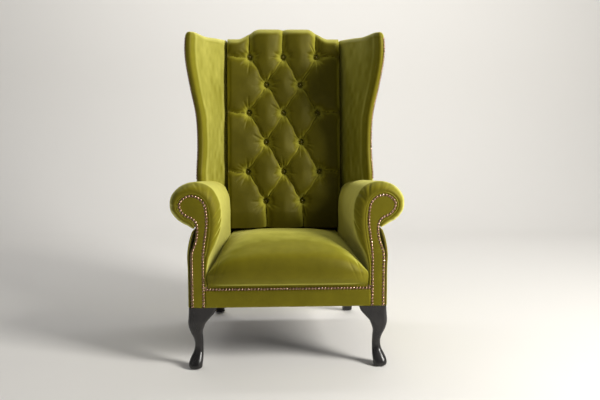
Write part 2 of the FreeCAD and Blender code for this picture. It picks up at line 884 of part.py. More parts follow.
def outside_arm_panel():
    neck_x, neck_z = arm_roll[-1]
    outline = [(0.0, cover_lift), (0.0, panel_neck), (neck_x + 12.0, neck_z - 38.0), (neck_x, neck_z - 1.0)]
    wires = []
    for y in (front_y, back_plane_y + post_back - clearance):
        shift = body_out(y)
        outer = [Vector(shift + dx, y, up(fallen(dz, y))) for dx, dz in outline]
        inner = [Vector(shift + dx, y, up(fallen(dz, y))) for dx, dz in shifted(outline, panel)]
        inner[0].z = outer[0].z
        edges = lines(outer[:2]) + arcs(outer[1:]) + lines([outer[-1], inner[-1]])
        edges += arcs(inner[:0:-1]) + lines([inner[1], inner[0], outer[0]])
        wires.append(Part.Wire(edges))
    return loft(wires)


# Wings

def wing_points(z):
    height = z - leg_height
    out = body_half_front + along(wing_outer, height)
    front = front_y + along(wing_front, height)
    root = (back_half + 0.5, plane_y(z) + wing_root_depth)
    fold = (out - wing_edge, front + 34.0)
    middle = tuple(mix(a, b, 0.55) + 0.7 * wing_hollow for a, b in zip(root, fold))
    return [root, middle, fold, (out - 0.86 * wing_edge, front + 10.0), (out - 0.5 * wing_edge, front),
            (out - 4.0, front + 9.0), (out, front + 26.0)]


def wing_rear(z):
    y = plane_y(z) + post_back - clearance
    return body_out(y), y


# Wing as a closed solid, shrunk by an inset, its outer and rear sides pushed out by a spill
def wing_solid(inset, spill, bottom, top):
    heights = [(mix(bottom, top - wing_round[0][0], i / wing_steps), 0.0) for i in range(wing_steps)]
    heights += [(top - drop, shrink) for drop, shrink in wing_round]
    wires = []
    for z, shrink in heights:
        chain = shifted(wing_points(z), inset + shrink)
        rear_x, rear_y = wing_rear(z)
        close = [(chain[-1][0] + spill, chain[-1][1] + 1.0), (rear_x + spill, rear_y + spill),
                 (back_half + 0.5 + shrink - spill, rear_y + spill),
                 (back_half + 0.5 + shrink - spill, chain[0][1] + 1.0)]
        points = [Vector(x, y, z) for x, y in chain]
        rest = [Vector(x, y, z) for x, y in close]
        wires.append(Part.Wire(arcs(points) + lines([points[-1]] + rest + [points[0]])))
    return loft(wires)


def wing_pad_solid():
    bottom, top = up(wing_bottom) + 0.5, up(wing_top) - cloth - clearance
    heights = [(mix(bottom, top - wing_round[0][0], i / wing_steps), 0.0) for i in range(wing_steps)]
    heights += [(top - drop, shrink) for drop, shrink in wing_round]
    wires = []
    for z, shrink in heights:
        chain = shifted(wing_points(z), cloth + clearance + shrink)
        points = [Vector(x, y, z) for x, y in chain]
        back = Vector(points[0].x + 6.0, points[0].y + 4.0, z)
        side = Vector(points[-1].x - panel - 1.0, points[-1].y + 6.0, z)
        wires.append(Part.Wire(arcs(points) + lines([points[-1], side, back, points[0]])))
    return loft(wires)


# The room that the arm takes up under a wing
def arm_room():
    return arm_solid(-clearance, 0.0)


def wing_post():
    bottom, top = up(wing_bottom) + 2.0, up(wing_top) - wing_rail_drop
    wires = []
    for i in range(wing_steps + 1):
        z = mix(bottom, top, i / wing_steps)
        out = body_half_front + along(wing_outer, z - leg_height) - wing_post_inset
        front = front_y + along(wing_front, z - leg_height) + wing_post_back
        corners = [(out - wing_post_width, front), (out, front),
                   (out, front + wing_post_depth), (out - wing_post_width, front + wing_post_depth)]
        points = [Vector(x, y, z) for x, y in corners]
        wires.append(Part.Wire(lines(points + points[:1])))
    return loft(wires)


def wing_rail():
    top = up(wing_top) - wing_rail_drop - clearance
    z = top - wing_rail_height
    out = body_half_front + along(wing_outer, z - leg_height) - wing_post_inset
    front = front_y + along(wing_front, z - leg_height) + wing_post_back + wing_post_depth + 5.0
    rear = plane_y(z) + post_front - 1.0
    outline = [Vector(out - wing_post_width, front, z), Vector(out, front, z),
               Vector(post_inner + post_width - 4.0, rear, z),
               Vector(post_inner + post_width - 4.0 - wing_post_width, rear, z)]
    return prism(outline, Vector(0, 0, wing_rail_height))


def wing_nail_places():
    count = int((wing_nail_top - wing_nail_bottom) / nail_pitch * 1.02)
    places = []
    for i in range(count + 1):
        z = up(mix(wing_nail_bottom, wing_nail_top, i / count))
        nose, edge, outer = wing_points(z)[-3:]
        above = wing_points(z + nail_pitch)[-2]
        lean = Vector(above[0] - edge[0], above[1] - edge[1], nail_pitch).normalize()
        direction = Vector(outer[1] - nose[1], nose[0] - outer[0], 0).normalize()
        direction = (direction - lean * direction.dot(lean)).normalize()
        places.append((Vector(edge[0], edge[1], z) + direction * 2.5 * clearance, direction))
    return places


def inside_wing_cover():
    bottom, top = up(wing_bottom), up(wing_top)
    outer = wing_solid(0.0, 0.0, bottom, top)
    hollow = wing_solid(cloth, 6.0, bottom - 5.0, top - cloth)
    return outer.cut(hollow)


def outside_wing_panel():
    bottom, top = up(wing_bottom) + 0.5, up(wing_top) - wing_round[0][0] + 12.0
    wires = []
    for i in range(wing_steps + 1):
        z = mix(bottom, top, i / wing_steps)
        out_x, out_y = wing_points(z)[-1]
        rear_x, rear_y = wing_rear(z)
        start_y = out_y + cloth + 1.0
        slope = (rear_x - out_x) / (rear_y - out_y)
        start_x = out_x + slope * (start_y - out_y)
        corners = [(start_x, start_y), (rear_x, rear_y), (rear_x - panel, rear_y), (start_x - panel, start_y)]
        points = [Vector(x, y, z) for x, y in corners]
        wires.append(Part.Wire(lines(points + points[:1])))
    return loft(wires)


def outside_back_panel():
    z_low = up(cover_lift)
    rear_y = back_plane_y + post_back
    neck = up(fallen(arm_roll[-1][1], rear_y))
    side = body_out(rear_y) - clearance
    shift = body_taper * (rear_y - front_y - arm_edge_depth)
    roll = [(body_half_front + dx - shift, up(fallen(dz, rear_y))) for dx, dz in arm_roll[6:]]
    top = crest_points(crest_rail_drop, back_half, 0)
    shoulder = up(wing_top) - cloth - shoulder_gap
    right = [Vector(side, 0, z_low), Vector(side, 0, up(panel_neck))]
    right += [Vector(roll[-1][0], 0, neck)]
    right += [Vector(x, 0, z) for x, z in reversed(roll[:-1])]
    wing_foot = roll[0][1] + 5 * clearance    # over the arc of the arm's top
    wing_side = wing_rear(wing_foot)[0]
    right += [Vector(roll[0][0], 0, wing_foot), Vector(wing_side, 0, wing_foot),
              Vector(wing_side - outside_lean, 0, shoulder)]
    left = [Vector(-p.x, 0, p.z) for p in reversed(right)]
    edges = lines(right[:2] + [right[2]]) + arcs(right[2:9]) + lines(right[8:])
    edges += lines([right[-1]] + top[::-1] + [left[0]])
    edges += lines(left[:3]) + arcs(left[2:9]) + lines(left[8:]) + lines([left[-1], right[0]])
    board = Part.Face(Part.Wire(edges)).extrude(Vector(0, far, 0))
    slab = raked_slab(post_back, post_back + panel, up(0), up(crest_shoulder + 2 * crest_hump))
    return slab.common(board)


# Legs

def rounded(x0, x1, y0, y1, radius, z):
    cut = radius * (1 - math.sqrt(0.5))
    corners = [((x0 + radius, y0), (x1 - radius, y0), (x1 - cut, y0 + cut)),
               ((x1, y0 + radius), (x1, y1 - radius), (x1 - cut, y1 - cut)),
               ((x1 - radius, y1), (x0 + radius, y1), (x0 + cut, y1 - cut)),
               ((x0, y1 - radius), (x0, y0 + radius), (x0 + cut, y0 + cut))]
    edges = []
    for i, (start, end, through) in enumerate(corners):
        after = corners[(i + 1) % 4][0]
        a, b, c, d = [Vector(x, y, z) for x, y in (start, end, through, after)]
        edges += [Part.makeLine(a, b), Part.Arc(b, c, d).toShape()]
    return Part.Wire(edges)


def bolt_hole(x, y):
    return Part.makeCylinder(bolt_radius + bolt_room, bolt_below + 5, Vector(x, y, leg_height - bolt_below))


def glide_hole(x, y):
    return Part.makeCylinder(glide_pin + clearance, glide_pin_length, Vector(x, y, sole))


def front_leg():
    wires = []
    for share, inner, outer, radius in leg_profile:
        z = mix(sole, leg_height, share)
        step = foot_reach * max(0.0, 1 - share / foot_share)
        y0 = front_y + outer - leg_forward - step
        y1 = front_y + inner - leg_forward - step * 0.4
        wires.append(rounded(body_half_front - inner, body_half_front - outer, y0, y1, radius, z))
    leg = loft(wires)
    return leg.cut(bolt_hole(*front_bolt)).cut(glide_hole(*front_glide()))


def front_glide():
    share, inner, outer, radius = leg_profile[0]
    middle = (inner + outer) / 2
    return body_half_front - middle, front_y + middle - leg_forward - foot_reach * 0.7


def rear_centre(share):
    return rear_leg_top_y + rear_leg_kick * (1 - share) ** 1.35


def rear_leg():
    wires = []
    widths = [(0.0, rear_leg_foot), (0.45, rear_leg_ankle), (1.0, rear_leg_top)]
    for i in range(rear_leg_steps + 1):
        share = i / rear_leg_steps
        half = along(widths, share) / 2
        y = rear_centre(share)
        z = mix(sole, leg_height, share)
        wires.append(rounded(rear_leg_x - half, rear_leg_x + half, y - half, y + half, rear_leg_radius, z))
    leg = loft(wires)
    return leg.cut(bolt_hole(*rear_bolt)).cut(glide_hole(rear_leg_x, rear_centre(0)))


def leg_bolts():
    x, y = front_bolt
    above = block_lift + block_height
    start = leg_height - bolt_below
    front = Part.makeCylinder(bolt_radius, bolt_below + above + nut_height + 4, Vector(x, y, start))
    nut = Part.makeCylinder(nut_radius, nut_height, Vector(x, y, up(above) + clearance))
    x, y = rear_bolt
    rear = Part.makeCylinder(bolt_radius, bolt_below + above, Vector(x, y, start))
    bolts = [front.fuse(nut), rear]
    return Part.makeCompound(bolts + [mirrored(b) for b in bolts])


def leg_glides():
    glides = []
    for x, y in (front_glide(), (rear_leg_x, rear_centre(0))):
        disc = Part.makeCylinder(glide_radius, sole, Vector(x, y, 0))
        pin = Part.makeCylinder(glide_pin, glide_pin_length - 1, Vector(x, y, sole))
        glides.append(disc.fuse(pin))
    return Part.makeCompound(glides + [mirrored(g) for g in glides])


def rear_bolt_hole():
    x, y = rear_bolt
    return Part.makeCylinder(bolt_radius + bolt_room, block_lift + block_height + 5, Vector(x, y, up(-2)))


# Every piece by name

def pair(name, shape):
    return {name + "_right": shape, name + "_left": mirrored(shape)}


def all_pieces():
    front = Vector(0, -1, 0)
    arm_places = facing_nails()
    arm_holes = [nail_hole(p, front) for p in arm_places]
    seat_half_row = facing_points(0)[0][0] - nail_pitch
    seat_count = int(2 * seat_half_row / nail_pitch) + 1
    row_z = frame_top - seat_cover_drop + nail_radius
    seat_places = [Vector(mix(-seat_half_row, seat_half_row, i / (seat_count - 1)),
                          front_y - cloth - 1.0, row_z) for i in range(seat_count)]
    seat_holes = [nail_hole(p, front) for p in seat_places]
    wing_places = wing_nail_places()
    wing_holes = [nail_hole(p, d) for p, d in wing_places]
    post = back_post().cut(rear_bolt_hole())
    room = arm_room()
    wing_cover = inside_wing_cover().cut(room)
    wing_pad = wing_pad_solid().cut(wing_post()).cut(wing_rail()).cut(room)

    pieces = {
        "front_rail": drilled(front_rail(), seat_holes),
        "back_rail": back_rail(),
        "crest_rail": crest_rail(),
        "lumbar_rail": lumbar_rail(),
        "corner_blocks": corner_blocks(),
        "seat_springs": seat_springs(),
        "spring_clips": spring_clips(),
        "seat_hessian": seat_hessian(),
        "seat_foam": seat_foam(),
        "seat_cover": drilled(seat_cover(), seat_holes),
        "front_border": front_border(),
        "dust_cover": dust_cover(),
        "back_webbing": drilled(back_webbing(), twine_holes()),
        "back_foam": drilled(back_foam(), twine_holes()),
        "inside_back_cover": drilled(inside_back_cover(), twine_holes()),
        "back_buttons": back_buttons(),
        "button_twines": button_twines(),
        "outside_back_panel": outside_back_panel(),
        "leg_bolts": leg_bolts(),
        "leg_glides": leg_glides(),
        "seat_nails": Part.makeCompound([dome_nail(p, front) for p in seat_places])}
    pieces.update(pair("side_rail", side_rail()))
    pieces.update(pair("front_stump", drilled(front_stump(), arm_holes)))
    pieces.update(pair("arm_rail", arm_rail()))
    pieces.update(pair("back_post", post))
    pieces.update(pair("arm_pad", arm_pad()))
    pieces.update(pair("inside_arm_cover", inside_arm_cover()))
    pieces.update(pair("arm_facing", drilled(arm_facing(), arm_holes)))
    pieces.update(pair("outside_arm_panel", outside_arm_panel()))
    pieces.update(pair("arm_nails", Part.makeCompound([dome_nail(p, front) for p in arm_places])))
    pieces.update(pair("wing_post", drilled(wing_post().cut(room), wing_holes)))
    pieces.update(pair("wing_rail", wing_rail()))
    pieces.update(pair("wing_pad", drilled(wing_pad, wing_holes)))
    pieces.update(pair("inside_wing_cover", drilled(wing_cover, wing_holes)))
    pieces.update(pair("outside_wing_panel", outside_wing_panel().cut(room)))
    pieces.update(pair("wing_nails", Part.makeCompound([dome_nail(p, d) for p, d in wing_places])))
    pieces.update(pair("front_leg", front_leg()))
    pieces.update(pair("rear_leg", rear_leg()))
    return pieces


def main():
    os.makedirs("parts", exist_ok=True)
    for name, shape in all_pieces().items():
        box_ = shape.BoundBox
        print(name, len(shape.Solids), shape.isValid(), round(shape.Volume / 1000, 1),
              [round(v) for v in (box_.XMin, box_.XMax, box_.YMin, box_.YMax, box_.ZMin, box_.ZMax)])
        shape.exportStep("parts/" + name + ".step")


main()
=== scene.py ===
import math

import bmesh
import bpy
import numpy as np
from mathutils import Euler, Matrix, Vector
from mathutils.geometry import delaunay_2d_cdt


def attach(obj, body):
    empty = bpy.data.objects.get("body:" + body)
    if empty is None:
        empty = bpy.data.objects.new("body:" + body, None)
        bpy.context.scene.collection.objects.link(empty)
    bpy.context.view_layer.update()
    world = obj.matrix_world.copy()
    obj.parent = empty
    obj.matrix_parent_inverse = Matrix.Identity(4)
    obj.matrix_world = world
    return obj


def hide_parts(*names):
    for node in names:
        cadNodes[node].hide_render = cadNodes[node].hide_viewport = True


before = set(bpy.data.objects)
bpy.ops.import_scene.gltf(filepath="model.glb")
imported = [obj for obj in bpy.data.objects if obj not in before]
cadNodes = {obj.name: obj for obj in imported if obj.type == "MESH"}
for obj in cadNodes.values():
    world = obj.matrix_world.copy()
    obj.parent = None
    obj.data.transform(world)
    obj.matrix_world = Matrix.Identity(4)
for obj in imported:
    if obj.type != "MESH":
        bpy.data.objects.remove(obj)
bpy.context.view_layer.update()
print("frame loaded:", len(cadNodes), "pieces")


# Chair sizes shared by the pieces, metres, front towards -Y, floor at z = 0

chair = {
    "legHeight": 0.228,        # floor to the frame's underside
    "frontY": -0.362,          # front of the frame
    "halfFront": 0.360,        # middle to the outside arm panel, at the front
    "taper": 0.06,             # sides draw in per metre of depth
    "backHalf": 0.238,         # middle to the side of the inside back
    "backPlane": 0.174,        # button plane below the bend
    "backBend": 0.500,
    "backSlope": 0.148,
    "postBack": 0.107,         # from the button plane to the rear of the posts
    "cloth": 0.003,
    "frameTop": 0.306,
}


def up(height):
    return chair["legHeight"] + height


def planeY(z):
    return chair["backPlane"] + np.maximum(0.0, z - chair["backBend"]) * chair["backSlope"]


def bodyOut(y):
    return chair["halfFront"] - chair["taper"] * (y - chair["frontY"])


def lerp(a, b, t):
    return a + (b - a) * t


def smooth(t):
    t = np.clip(t, 0.0, 1.0)
    return t * t * (3 - 2 * t)


def bump(t, width):
    return np.exp(-(t / width) ** 2)


# Smooth value through a short list of (position, value) pairs
def along(pairs, position):
    pos = np.array([p for p, _ in pairs], float)
    val = np.array([v for _, v in pairs], float)
    x = np.clip(np.asarray(position, float), pos[0], pos[-1])
    slope = np.gradient(val, pos)
    i = np.clip(np.searchsorted(pos, x, side="right") - 1, 0, len(pos) - 2)
    span = pos[i + 1] - pos[i]
    t = (x - pos[i]) / span
    h00, h10 = 2 * t**3 - 3 * t**2 + 1, t**3 - 2 * t**2 + t
    h01, h11 = -2 * t**3 + 3 * t**2, t**3 - t**2
    return h00 * val[i] + h10 * span * slope[i] + h01 * val[i + 1] + h11 * span * slope[i + 1]


# Even points along a smooth curve through the given points
def curveThrough(points, count, steps=14):
    pts = np.asarray(points, float)
    gaps = np.linalg.norm(np.diff(pts, axis=0), axis=1)
    pos = np.concatenate([[0.0], np.cumsum(np.maximum(gaps, 1e-7))])
    fine = np.unique(np.concatenate([np.linspace(pos[i], pos[i + 1], steps) for i in range(len(pos) - 1)]))
    dense = np.stack([along(list(zip(pos, pts[:, k])), fine) for k in range(pts.shape[1])], axis=1)
    return evenly(dense, count)


def evenly(points, count):
    points = np.asarray(points, float)
    gaps = np.linalg.norm(np.diff(points, axis=0), axis=1)
    length = np.concatenate([[0.0], np.cumsum(gaps)])
    want = np.linspace(0.0, length[-1], count)
    return np.stack([np.interp(want, length, points[:, k]) for k in range(points.shape[1])], axis=1)


# Moves an open line of plan points to its left by a distance
def leftOf(points, distance):
    tangent = np.gradient(points, axis=0)
    tangent /= np.maximum(np.linalg.norm(tangent, axis=1, keepdims=True), 1e-9)
    normal = np.stack([-tangent[:, 1], tangent[:, 0]], axis=1)
    return points + normal * np.reshape(distance, (-1, 1))


# Soft random undulation, the same each run, from about -height to height
def undulation(x, y, height, scale, seed):
    grid = np.random.default_rng(seed).uniform(-1, 1, (64, 64))
    gx, gy = np.asarray(x) / scale + 17.3, np.asarray(y) / scale + 9.1
    ix, iy = np.floor(gx).astype(int), np.floor(gy).astype(int)
    tx, ty = smooth(gx - ix), smooth(gy - iy)
    a, b = grid[ix % 64, iy % 64], grid[(ix + 1) % 64, iy % 64]
    c, d = grid[ix % 64, (iy + 1) % 64], grid[(ix + 1) % 64, (iy + 1) % 64]
    return height * lerp(lerp(a, b, tx), lerp(c, d, tx), ty)


# Materials

def newMaterial(name):
    mat = bpy.data.materials.new(name)
    mat.use_nodes = True
    return mat, mat.node_tree, mat.node_tree.nodes["Principled BSDF"]


def setInputs(node, values):
    for name, value in values.items():
        node.inputs[name].default_value = value


def newNode(tree, kind, **inputs):
    node = tree.nodes.new("ShaderNode" + kind)
    setInputs(node, inputs)
    return node


def noise(tree, scale, detail=3.0, roughness=0.55, stretch=(1, 1, 1)):
    mapping = newNode(tree, "Mapping", Scale=stretch)
    node = newNode(tree, "TexNoise", Scale=scale, Detail=detail, Roughness=roughness)
    tree.links.new(newNode(tree, "TexCoord").outputs["Object"], mapping.inputs["Vector"])
    tree.links.new(mapping.outputs["Vector"], node.inputs["Vector"])
    return node.outputs["Fac"]


# Colour ramp through (place, colour) stops, from a source to a socket
def ramp(tree, source, stops, socket):
    node = newNode(tree, "ValToRGB")
    band = node.color_ramp
    while len(band.elements) < len(stops):
        band.elements.new(0.5)
    for element, (place, colour) in zip(band.elements, stops):
        element.position = place
        element.color = (*colour, 1.0)
    tree.links.new(source, node.inputs["Fac"])
    tree.links.new(node.outputs["Color"], socket)


# Both colour sockets of a multiplying node, and its result
def multiplied(tree):
    node = newNode(tree, "Mix")
    node.data_type = "RGBA"
    node.blend_type = "MULTIPLY"
    node.inputs["Factor"].default_value = 1.0
    return node.inputs[6], node.inputs[7], node.outputs[2]


def addBump(tree, shader, sources, distance):
    last = None
    for source, strength in sources:
        node = newNode(tree, "Bump", Strength=strength, Distance=distance)
        tree.links.new(source, node.inputs["Height"])
        if last is not None:
            tree.links.new(last.outputs["Normal"], node.inputs["Normal"])
        last = node
    tree.links.new(last.outputs["Normal"], shader.inputs["Normal"])


velvet = {
    "deep": (0.070, 0.059, 0.0020),
    "body": (0.112, 0.096, 0.0034),
    "paintedSheenMid": (0.235, 0.215, 0.018),
    "paintedSheenGrazing": (0.70, 0.66, 0.155),
    "toneStarts": (-0.03, 0.20, 0.52, 0.78),   # of the four tones, from seen square on to grazing; the two brighter ones are painted sheen
    "napTurn": 0.10,           # how much the lie of the pile shifts the tone
    "crushed": ((0.30, (0.88, 0.88, 0.84)), (0.70, (1.0, 1.0, 1.0))),
    "fineNoise": (34.0, 3.0, 0.55),
    "pileNoise": (1400.0, 2.0, 0.5),
    "fineBump": 0.10,
    "pileBump": 0.22,
    "bumpDepth": 0.0012,
    "surface": {"Roughness": 0.52, "Specular IOR Level": 0.27, "Specular Tint": (1.0, 0.93, 0.42, 1.0),
                "Sheen Weight": 0.30, "Sheen Roughness": 0.28, "Sheen Tint": (0.92, 0.86, 0.30, 1.0)},
}


# lift brightens the square-on tones of a copy as painted light
def velvetMaterial(name, napStretch=(1, 1, 1), blotch=9.0, paintedSheenMid=velvet["paintedSheenMid"], paintedSheenGrazing=velvet["paintedSheenGrazing"],
                   lift=1.0):
    mat, tree, shader = newMaterial(name)
    broad = noise(tree, blotch, 2.0, 0.4, napStretch)
    fine, pile = noise(tree, *velvet["fineNoise"]), noise(tree, *velvet["pileNoise"])
    # The base colour follows the facing, shifted a little by the lie of the pile: it is brighter towards grazing as
    # painted sheen, on top of the shader's own sheen
    nap = newNode(tree, "Math")
    nap.operation = "MULTIPLY_ADD"
    nap.inputs[1].default_value = velvet["napTurn"]
    tree.links.new(broad, nap.inputs[0])
    tree.links.new(newNode(tree, "LayerWeight", Blend=0.5).outputs["Facing"], nap.inputs[2])
    tones = [tuple(lift * c for c in velvet[key]) for key in ("deep", "body")] + [paintedSheenMid, paintedSheenGrazing]
    stops = [(0.5 * velvet["napTurn"] + start, tone) for start, tone in zip(velvet["toneStarts"], tones)]
    first, second, colour = multiplied(tree)
    ramp(tree, nap.outputs[0], stops, first)
    ramp(tree, fine, velvet["crushed"], second)
    tree.links.new(colour, shader.inputs["Base Color"])
    setInputs(shader, velvet["surface"])
    addBump(tree, shader, [(fine, velvet["fineBump"]), (pile, velvet["pileBump"])], velvet["bumpDepth"])
    return mat


# By slot: name, grain, tones, roughness or its stops, bump strength and depth, other inputs, grain of the bump
grained = {
    "foam": ("paddingFoam", (420.0,), ((0.3, (0.60, 0.56, 0.44)), (0.7, (0.78, 0.75, 0.64))), 0.95, (0.4, 0.0008)),
    "frame_wood": ("frameTimber", (26.0, 5.0, 0.6, (0.14, 1, 1)),
                   ((0.3, (0.36, 0.22, 0.11)), (0.7, (0.58, 0.40, 0.22))), 0.65, (0.2, 0.0005), {},
                   (260.0, 2.0, 0.5, (0.10, 1, 1))),
    "black_wood": ("blackLacquer", (46.0, 4.0, 0.6, (1, 1, 0.12)),
                   ((0.3, (0.0060, 0.0052, 0.0052)), (0.7, (0.0140, 0.0120, 0.0115))),
                   ((0.3, 0.24), (0.7, 0.34)), (0.06, 0.0006), {"Specular IOR Level": 0.55}),
    "nail_bronze": ("antiqueNail", (220.0,),
                    ((0.35, (0.090, 0.045, 0.027)), (0.55, (0.320, 0.190, 0.130)), (0.72, (0.800, 0.610, 0.490))),
                    ((0.3, 0.38), (0.7, 0.20)), (0.15, 0.0004), {"Metallic": 1.0}),
    "steel": ("springSteel", (140.0,), ((0.3, (0.16, 0.16, 0.17)), (0.7, (0.42, 0.42, 0.43))), 0.38, None,
              {"Metallic": 1.0}),
    "glide_plastic": ("glidePlastic", (300.0, 2.0), ((0.3, (0.020, 0.020, 0.021)), (0.7, (0.042, 0.042, 0.044))), 0.55),
}


def grainedMaterial(name, grain, tones, roughness, relief=None, surface={}, pores=None):
    mat, tree, shader = newMaterial(name)
    source = noise(tree, *grain)
    ramp(tree, source, tones, shader.inputs["Base Color"])
    if isinstance(roughness, float):
        setInputs(shader, {"Roughness": roughness})
    else:
        ramp(tree, source, [(place, (grey,) * 3) for place, grey in roughness], shader.inputs["Roughness"])
    setInputs(shader, surface)
    if relief:
        addBump(tree, shader, [(noise(tree, *pores) if pores else source, relief[0])], relief[1])
    return mat


# By slot: name, dark and light thread, threads at their real spacing
woven = {
    "hessian": ("hessianWeave", (0.16, 0.10, 0.045), (0.50, 0.37, 0.20), 260.0),
    "dust_cloth": ("dustClothWeave", (0.010, 0.010, 0.011), (0.040, 0.040, 0.042), 420.0),
    "webbing": ("webbingWeave", (0.10, 0.07, 0.04), (0.62, 0.52, 0.36), 180.0),
    "twine": ("twineTwist", (0.36, 0.29, 0.18), (0.66, 0.58, 0.42), 400.0),
}


def wovenMaterial(name, dark, light, threads):
    mat, tree, shader = newMaterial(name)
    coords = newNode(tree, "TexCoord")
    first, second, cross = multiplied(tree)
    for direction, socket in (("X", first), ("Y", second)):
        wave = newNode(tree, "TexWave", Scale=threads, Distortion=0.6, Detail=1.0)
        wave.wave_type = "BANDS"
        wave.bands_direction = direction
        tree.links.new(coords.outputs["Object"], wave.inputs["Vector"])
        tree.links.new(wave.outputs["Color"], socket)
    ramp(tree, cross, [(0.05, dark), (0.8, light)], shader.inputs["Base Color"])
    setInputs(shader, {"Roughness": 0.9, "Specular IOR Level": 0.15})
    addBump(tree, shader, [(cross, 0.35)], 0.0006)
    return mat


# Copies of one velvet: the back's keeps darker square-on tones as painted shade and a brighter middle tone as painted
# highlight on the pit slopes; the seat's and the plain one's square-on tones are lifted as painted light
velvetBackShaded = velvetMaterial("velvetBackShaded", paintedSheenMid=(0.33, 0.305, 0.036), paintedSheenGrazing=(0.46, 0.425, 0.065))
velvetSeatLit = velvetMaterial("velvetSeatLit", (2.4, 1, 0.35), paintedSheenGrazing=(0.56, 0.53, 0.095), lift=1.45)
velvetPlainLit = velvetMaterial("velvetPlainLit", (1, 1, 0.8), 5.0, lift=1.55)
finishes = {"velvet": velvetPlainLit}
finishes.update({slot: grainedMaterial(*spec) for slot, spec in grained.items()})
finishes.update({slot: wovenMaterial(*spec) for slot, spec in woven.items()})
print("materials made")


# Objects and meshes

def addObject(name, data):
    obj = bpy.data.objects.new(name, data)
    bpy.context.scene.collection.objects.link(obj)
    return obj


def addPiece(name, verts, faces, replaced, material=velvetPlainLit, slot="velvet", sharpAngle=70.0):
    mesh = bpy.data.meshes.new(name)
    mesh.from_pydata([tuple(v) for v in np.asarray(verts, float)], [], [tuple(f) for f in faces])
    mesh.validate()
    shell = bmesh.new()
    shell.from_mesh(mesh)
    bmesh.ops.remove_doubles(shell, verts=shell.verts, dist=1e-6)
    bmesh.ops.recalc_face_normals(shell, faces=shell.faces)
    shell.to_mesh(mesh)
    shell.free()
    mesh.polygons.foreach_set("use_smooth", [True] * len(mesh.polygons))
    mesh.set_sharp_from_angle(angle=math.radians(sharpAngle))
    mesh.materials.append(material)
    obj = addObject(name, mesh)
    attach(obj, "root")
    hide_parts(*replaced)
    return obj


# Closed profiles side by side, capped at both ends
def sweepPiece(name, loops, replaced, *finish):
    loops = np.asarray(loops, float)
    profiles, count = loops.shape[:2]
    faces = []
    for a in range(0, (profiles - 1) * count, count):
        for j in range(count):
            k = (j + 1) % count
            faces.append((a + j, a + k, a + count + k, a + count + j))
    faces += [tuple(range(count)), tuple(range(profiles * count - 1, (profiles - 1) * count - 1, -1))]
    return addPiece(name, loops.reshape(-1, 3), faces, replaced, *finish)


# One of a pair, from the loops of the right one
def sidePiece(name, side, loops, replaced, *finish):
    mirror = np.array([-1.0 if side == "left" else 1.0, 1.0, 1.0])
    replaced = [node + "_" + side for node in replaced]
    return sweepPiece(name + "_" + side, np.asarray(loops, float) * mirror, replaced, *finish)


# Tufted back

tufting = {
    "rows": (0.922, 0.805, 0.687, 0.562, 0.437, 0.313),  # button rows above the frame's underside
    "pitchTop": 0.142,
    "pitchBottom": 0.155,
    "crown": 0.046,            # pillow height in front of the button plane
    "pleatRise": 0.024,        # pleat height midway between two buttons
    "pleatRound": 0.0012,
    "reach": 0.040,            # how far a pleat pulls the pillow down
    "waist": 0.42,             # how much of that reach is lost midway
    "nearShare": 0.48,         # share of the pull that ends at the reach
    "swell": 0.085,            # reach of the other share
    "blend": 0.0022,           # how softly pulls meet
    "bow": 0.0022,
    "waver": 0.0012,
    "lip": 0.0016,             # fold that lies over one side of a pleat
    "lipWidth": 0.007,
    # pleats from the outer buttons: height at the far end and in the middle, reach
    "sidePleat": (0.016, 0.017, 0.050),
    "topPleat": (0.006, 0.008, 0.046),
    "bottomPleat": (0.004, 0.008, 0.050),
    "pitRadius": 0.0085,
    "pitReach": 0.018,
    "pitDepth": 0.012,         # behind the button plane
    "pitLimit": 0.105,
    "folds": 13,               # small folds round each button
    "foldLength": (0.030, 0.066),
    "foldDepth": (0.0016, 0.0046),
    "foldWidth": (0.0022, 0.0044),
    "pillowWave": (0.0015, 0.07, 5),
    "clothWave": (0.0006, 0.03, 6),
    "sideFall": 0.78,          # share of the outer pillow from which it falls to its side
    "edgeDepth": 0.026,
    "bottom": 0.4330,
    "shoulder": 1.228,
    "hump": 0.042,
    "humpInner": 0.100,
    "humpOuter": 0.196,
    "topDips": ((0.0, 0.004, 0.012), (0.139, 0.003, 0.010)),  # distance from the middle, depth, width
    "topDepth": 0.026,
    "rollDrop": 0.032,
    "railDrop": 0.020,
    "lining": 0.060,           # rear of the padding, behind the button plane
    "columns": 191,
    "frontRows": 290,
    "rollRows": 26,
    "topRows": 22,
}
rowHeights = [up(h) for h in tufting["rows"]]


def buttonPitch(z):
    share = (rowHeights[0] - z) / (rowHeights[0] - rowHeights[-1])
    return lerp(tufting["pitchTop"], tufting["pitchBottom"], share)


def crestHeight(x):
    share = np.clip((tufting["humpOuter"] - np.abs(x)) / (tufting["humpOuter"] - tufting["humpInner"]), 0, 1)
    return tufting["shoulder"] + tufting["hump"] * smooth(share)


def buttonPlaces():
    places = []
    for row, z in enumerate(rowHeights):
        for column in ((-1, 0, 1) if row % 2 == 0 else (-0.5, 0.5)):
            places.append((column * buttonPitch(z), z, row, column))
    return places


# Pleats from the buttons: start, end, height at the end and in the middle, reach
def pleatLines():
    at = {(row, column): (x, z) for x, z, row, column in buttonPlaces()}
    lines = []
    for (row, column), start in at.items():
        for side in (-0.5, 0.5):
            end = at.get((row + 1, column + side))
            if end:
                lines.append((start, end, 0.0, tufting["pleatRise"], tufting["reach"]))
    for row in (0, 2, 4):
        for side in (-1, 1):
            x, z = at[(row, side)]
            lines.append(((x, z), (side * (chair["backHalf"] + 0.02), z + 0.004), *tufting["sidePleat"]))
    for column in (-1, 0, 1):
        x, z = at[(0, column)]
        lines.append(((x, z), (x * 0.985, z + 0.32), *tufting["topPleat"]))
    for column in (-0.5, 0.5):
        x, z = at[(5, column)]
        lines.append(((x, z), (x * 1.02, z - 0.30), *tufting["bottomPleat"]))
    return lines


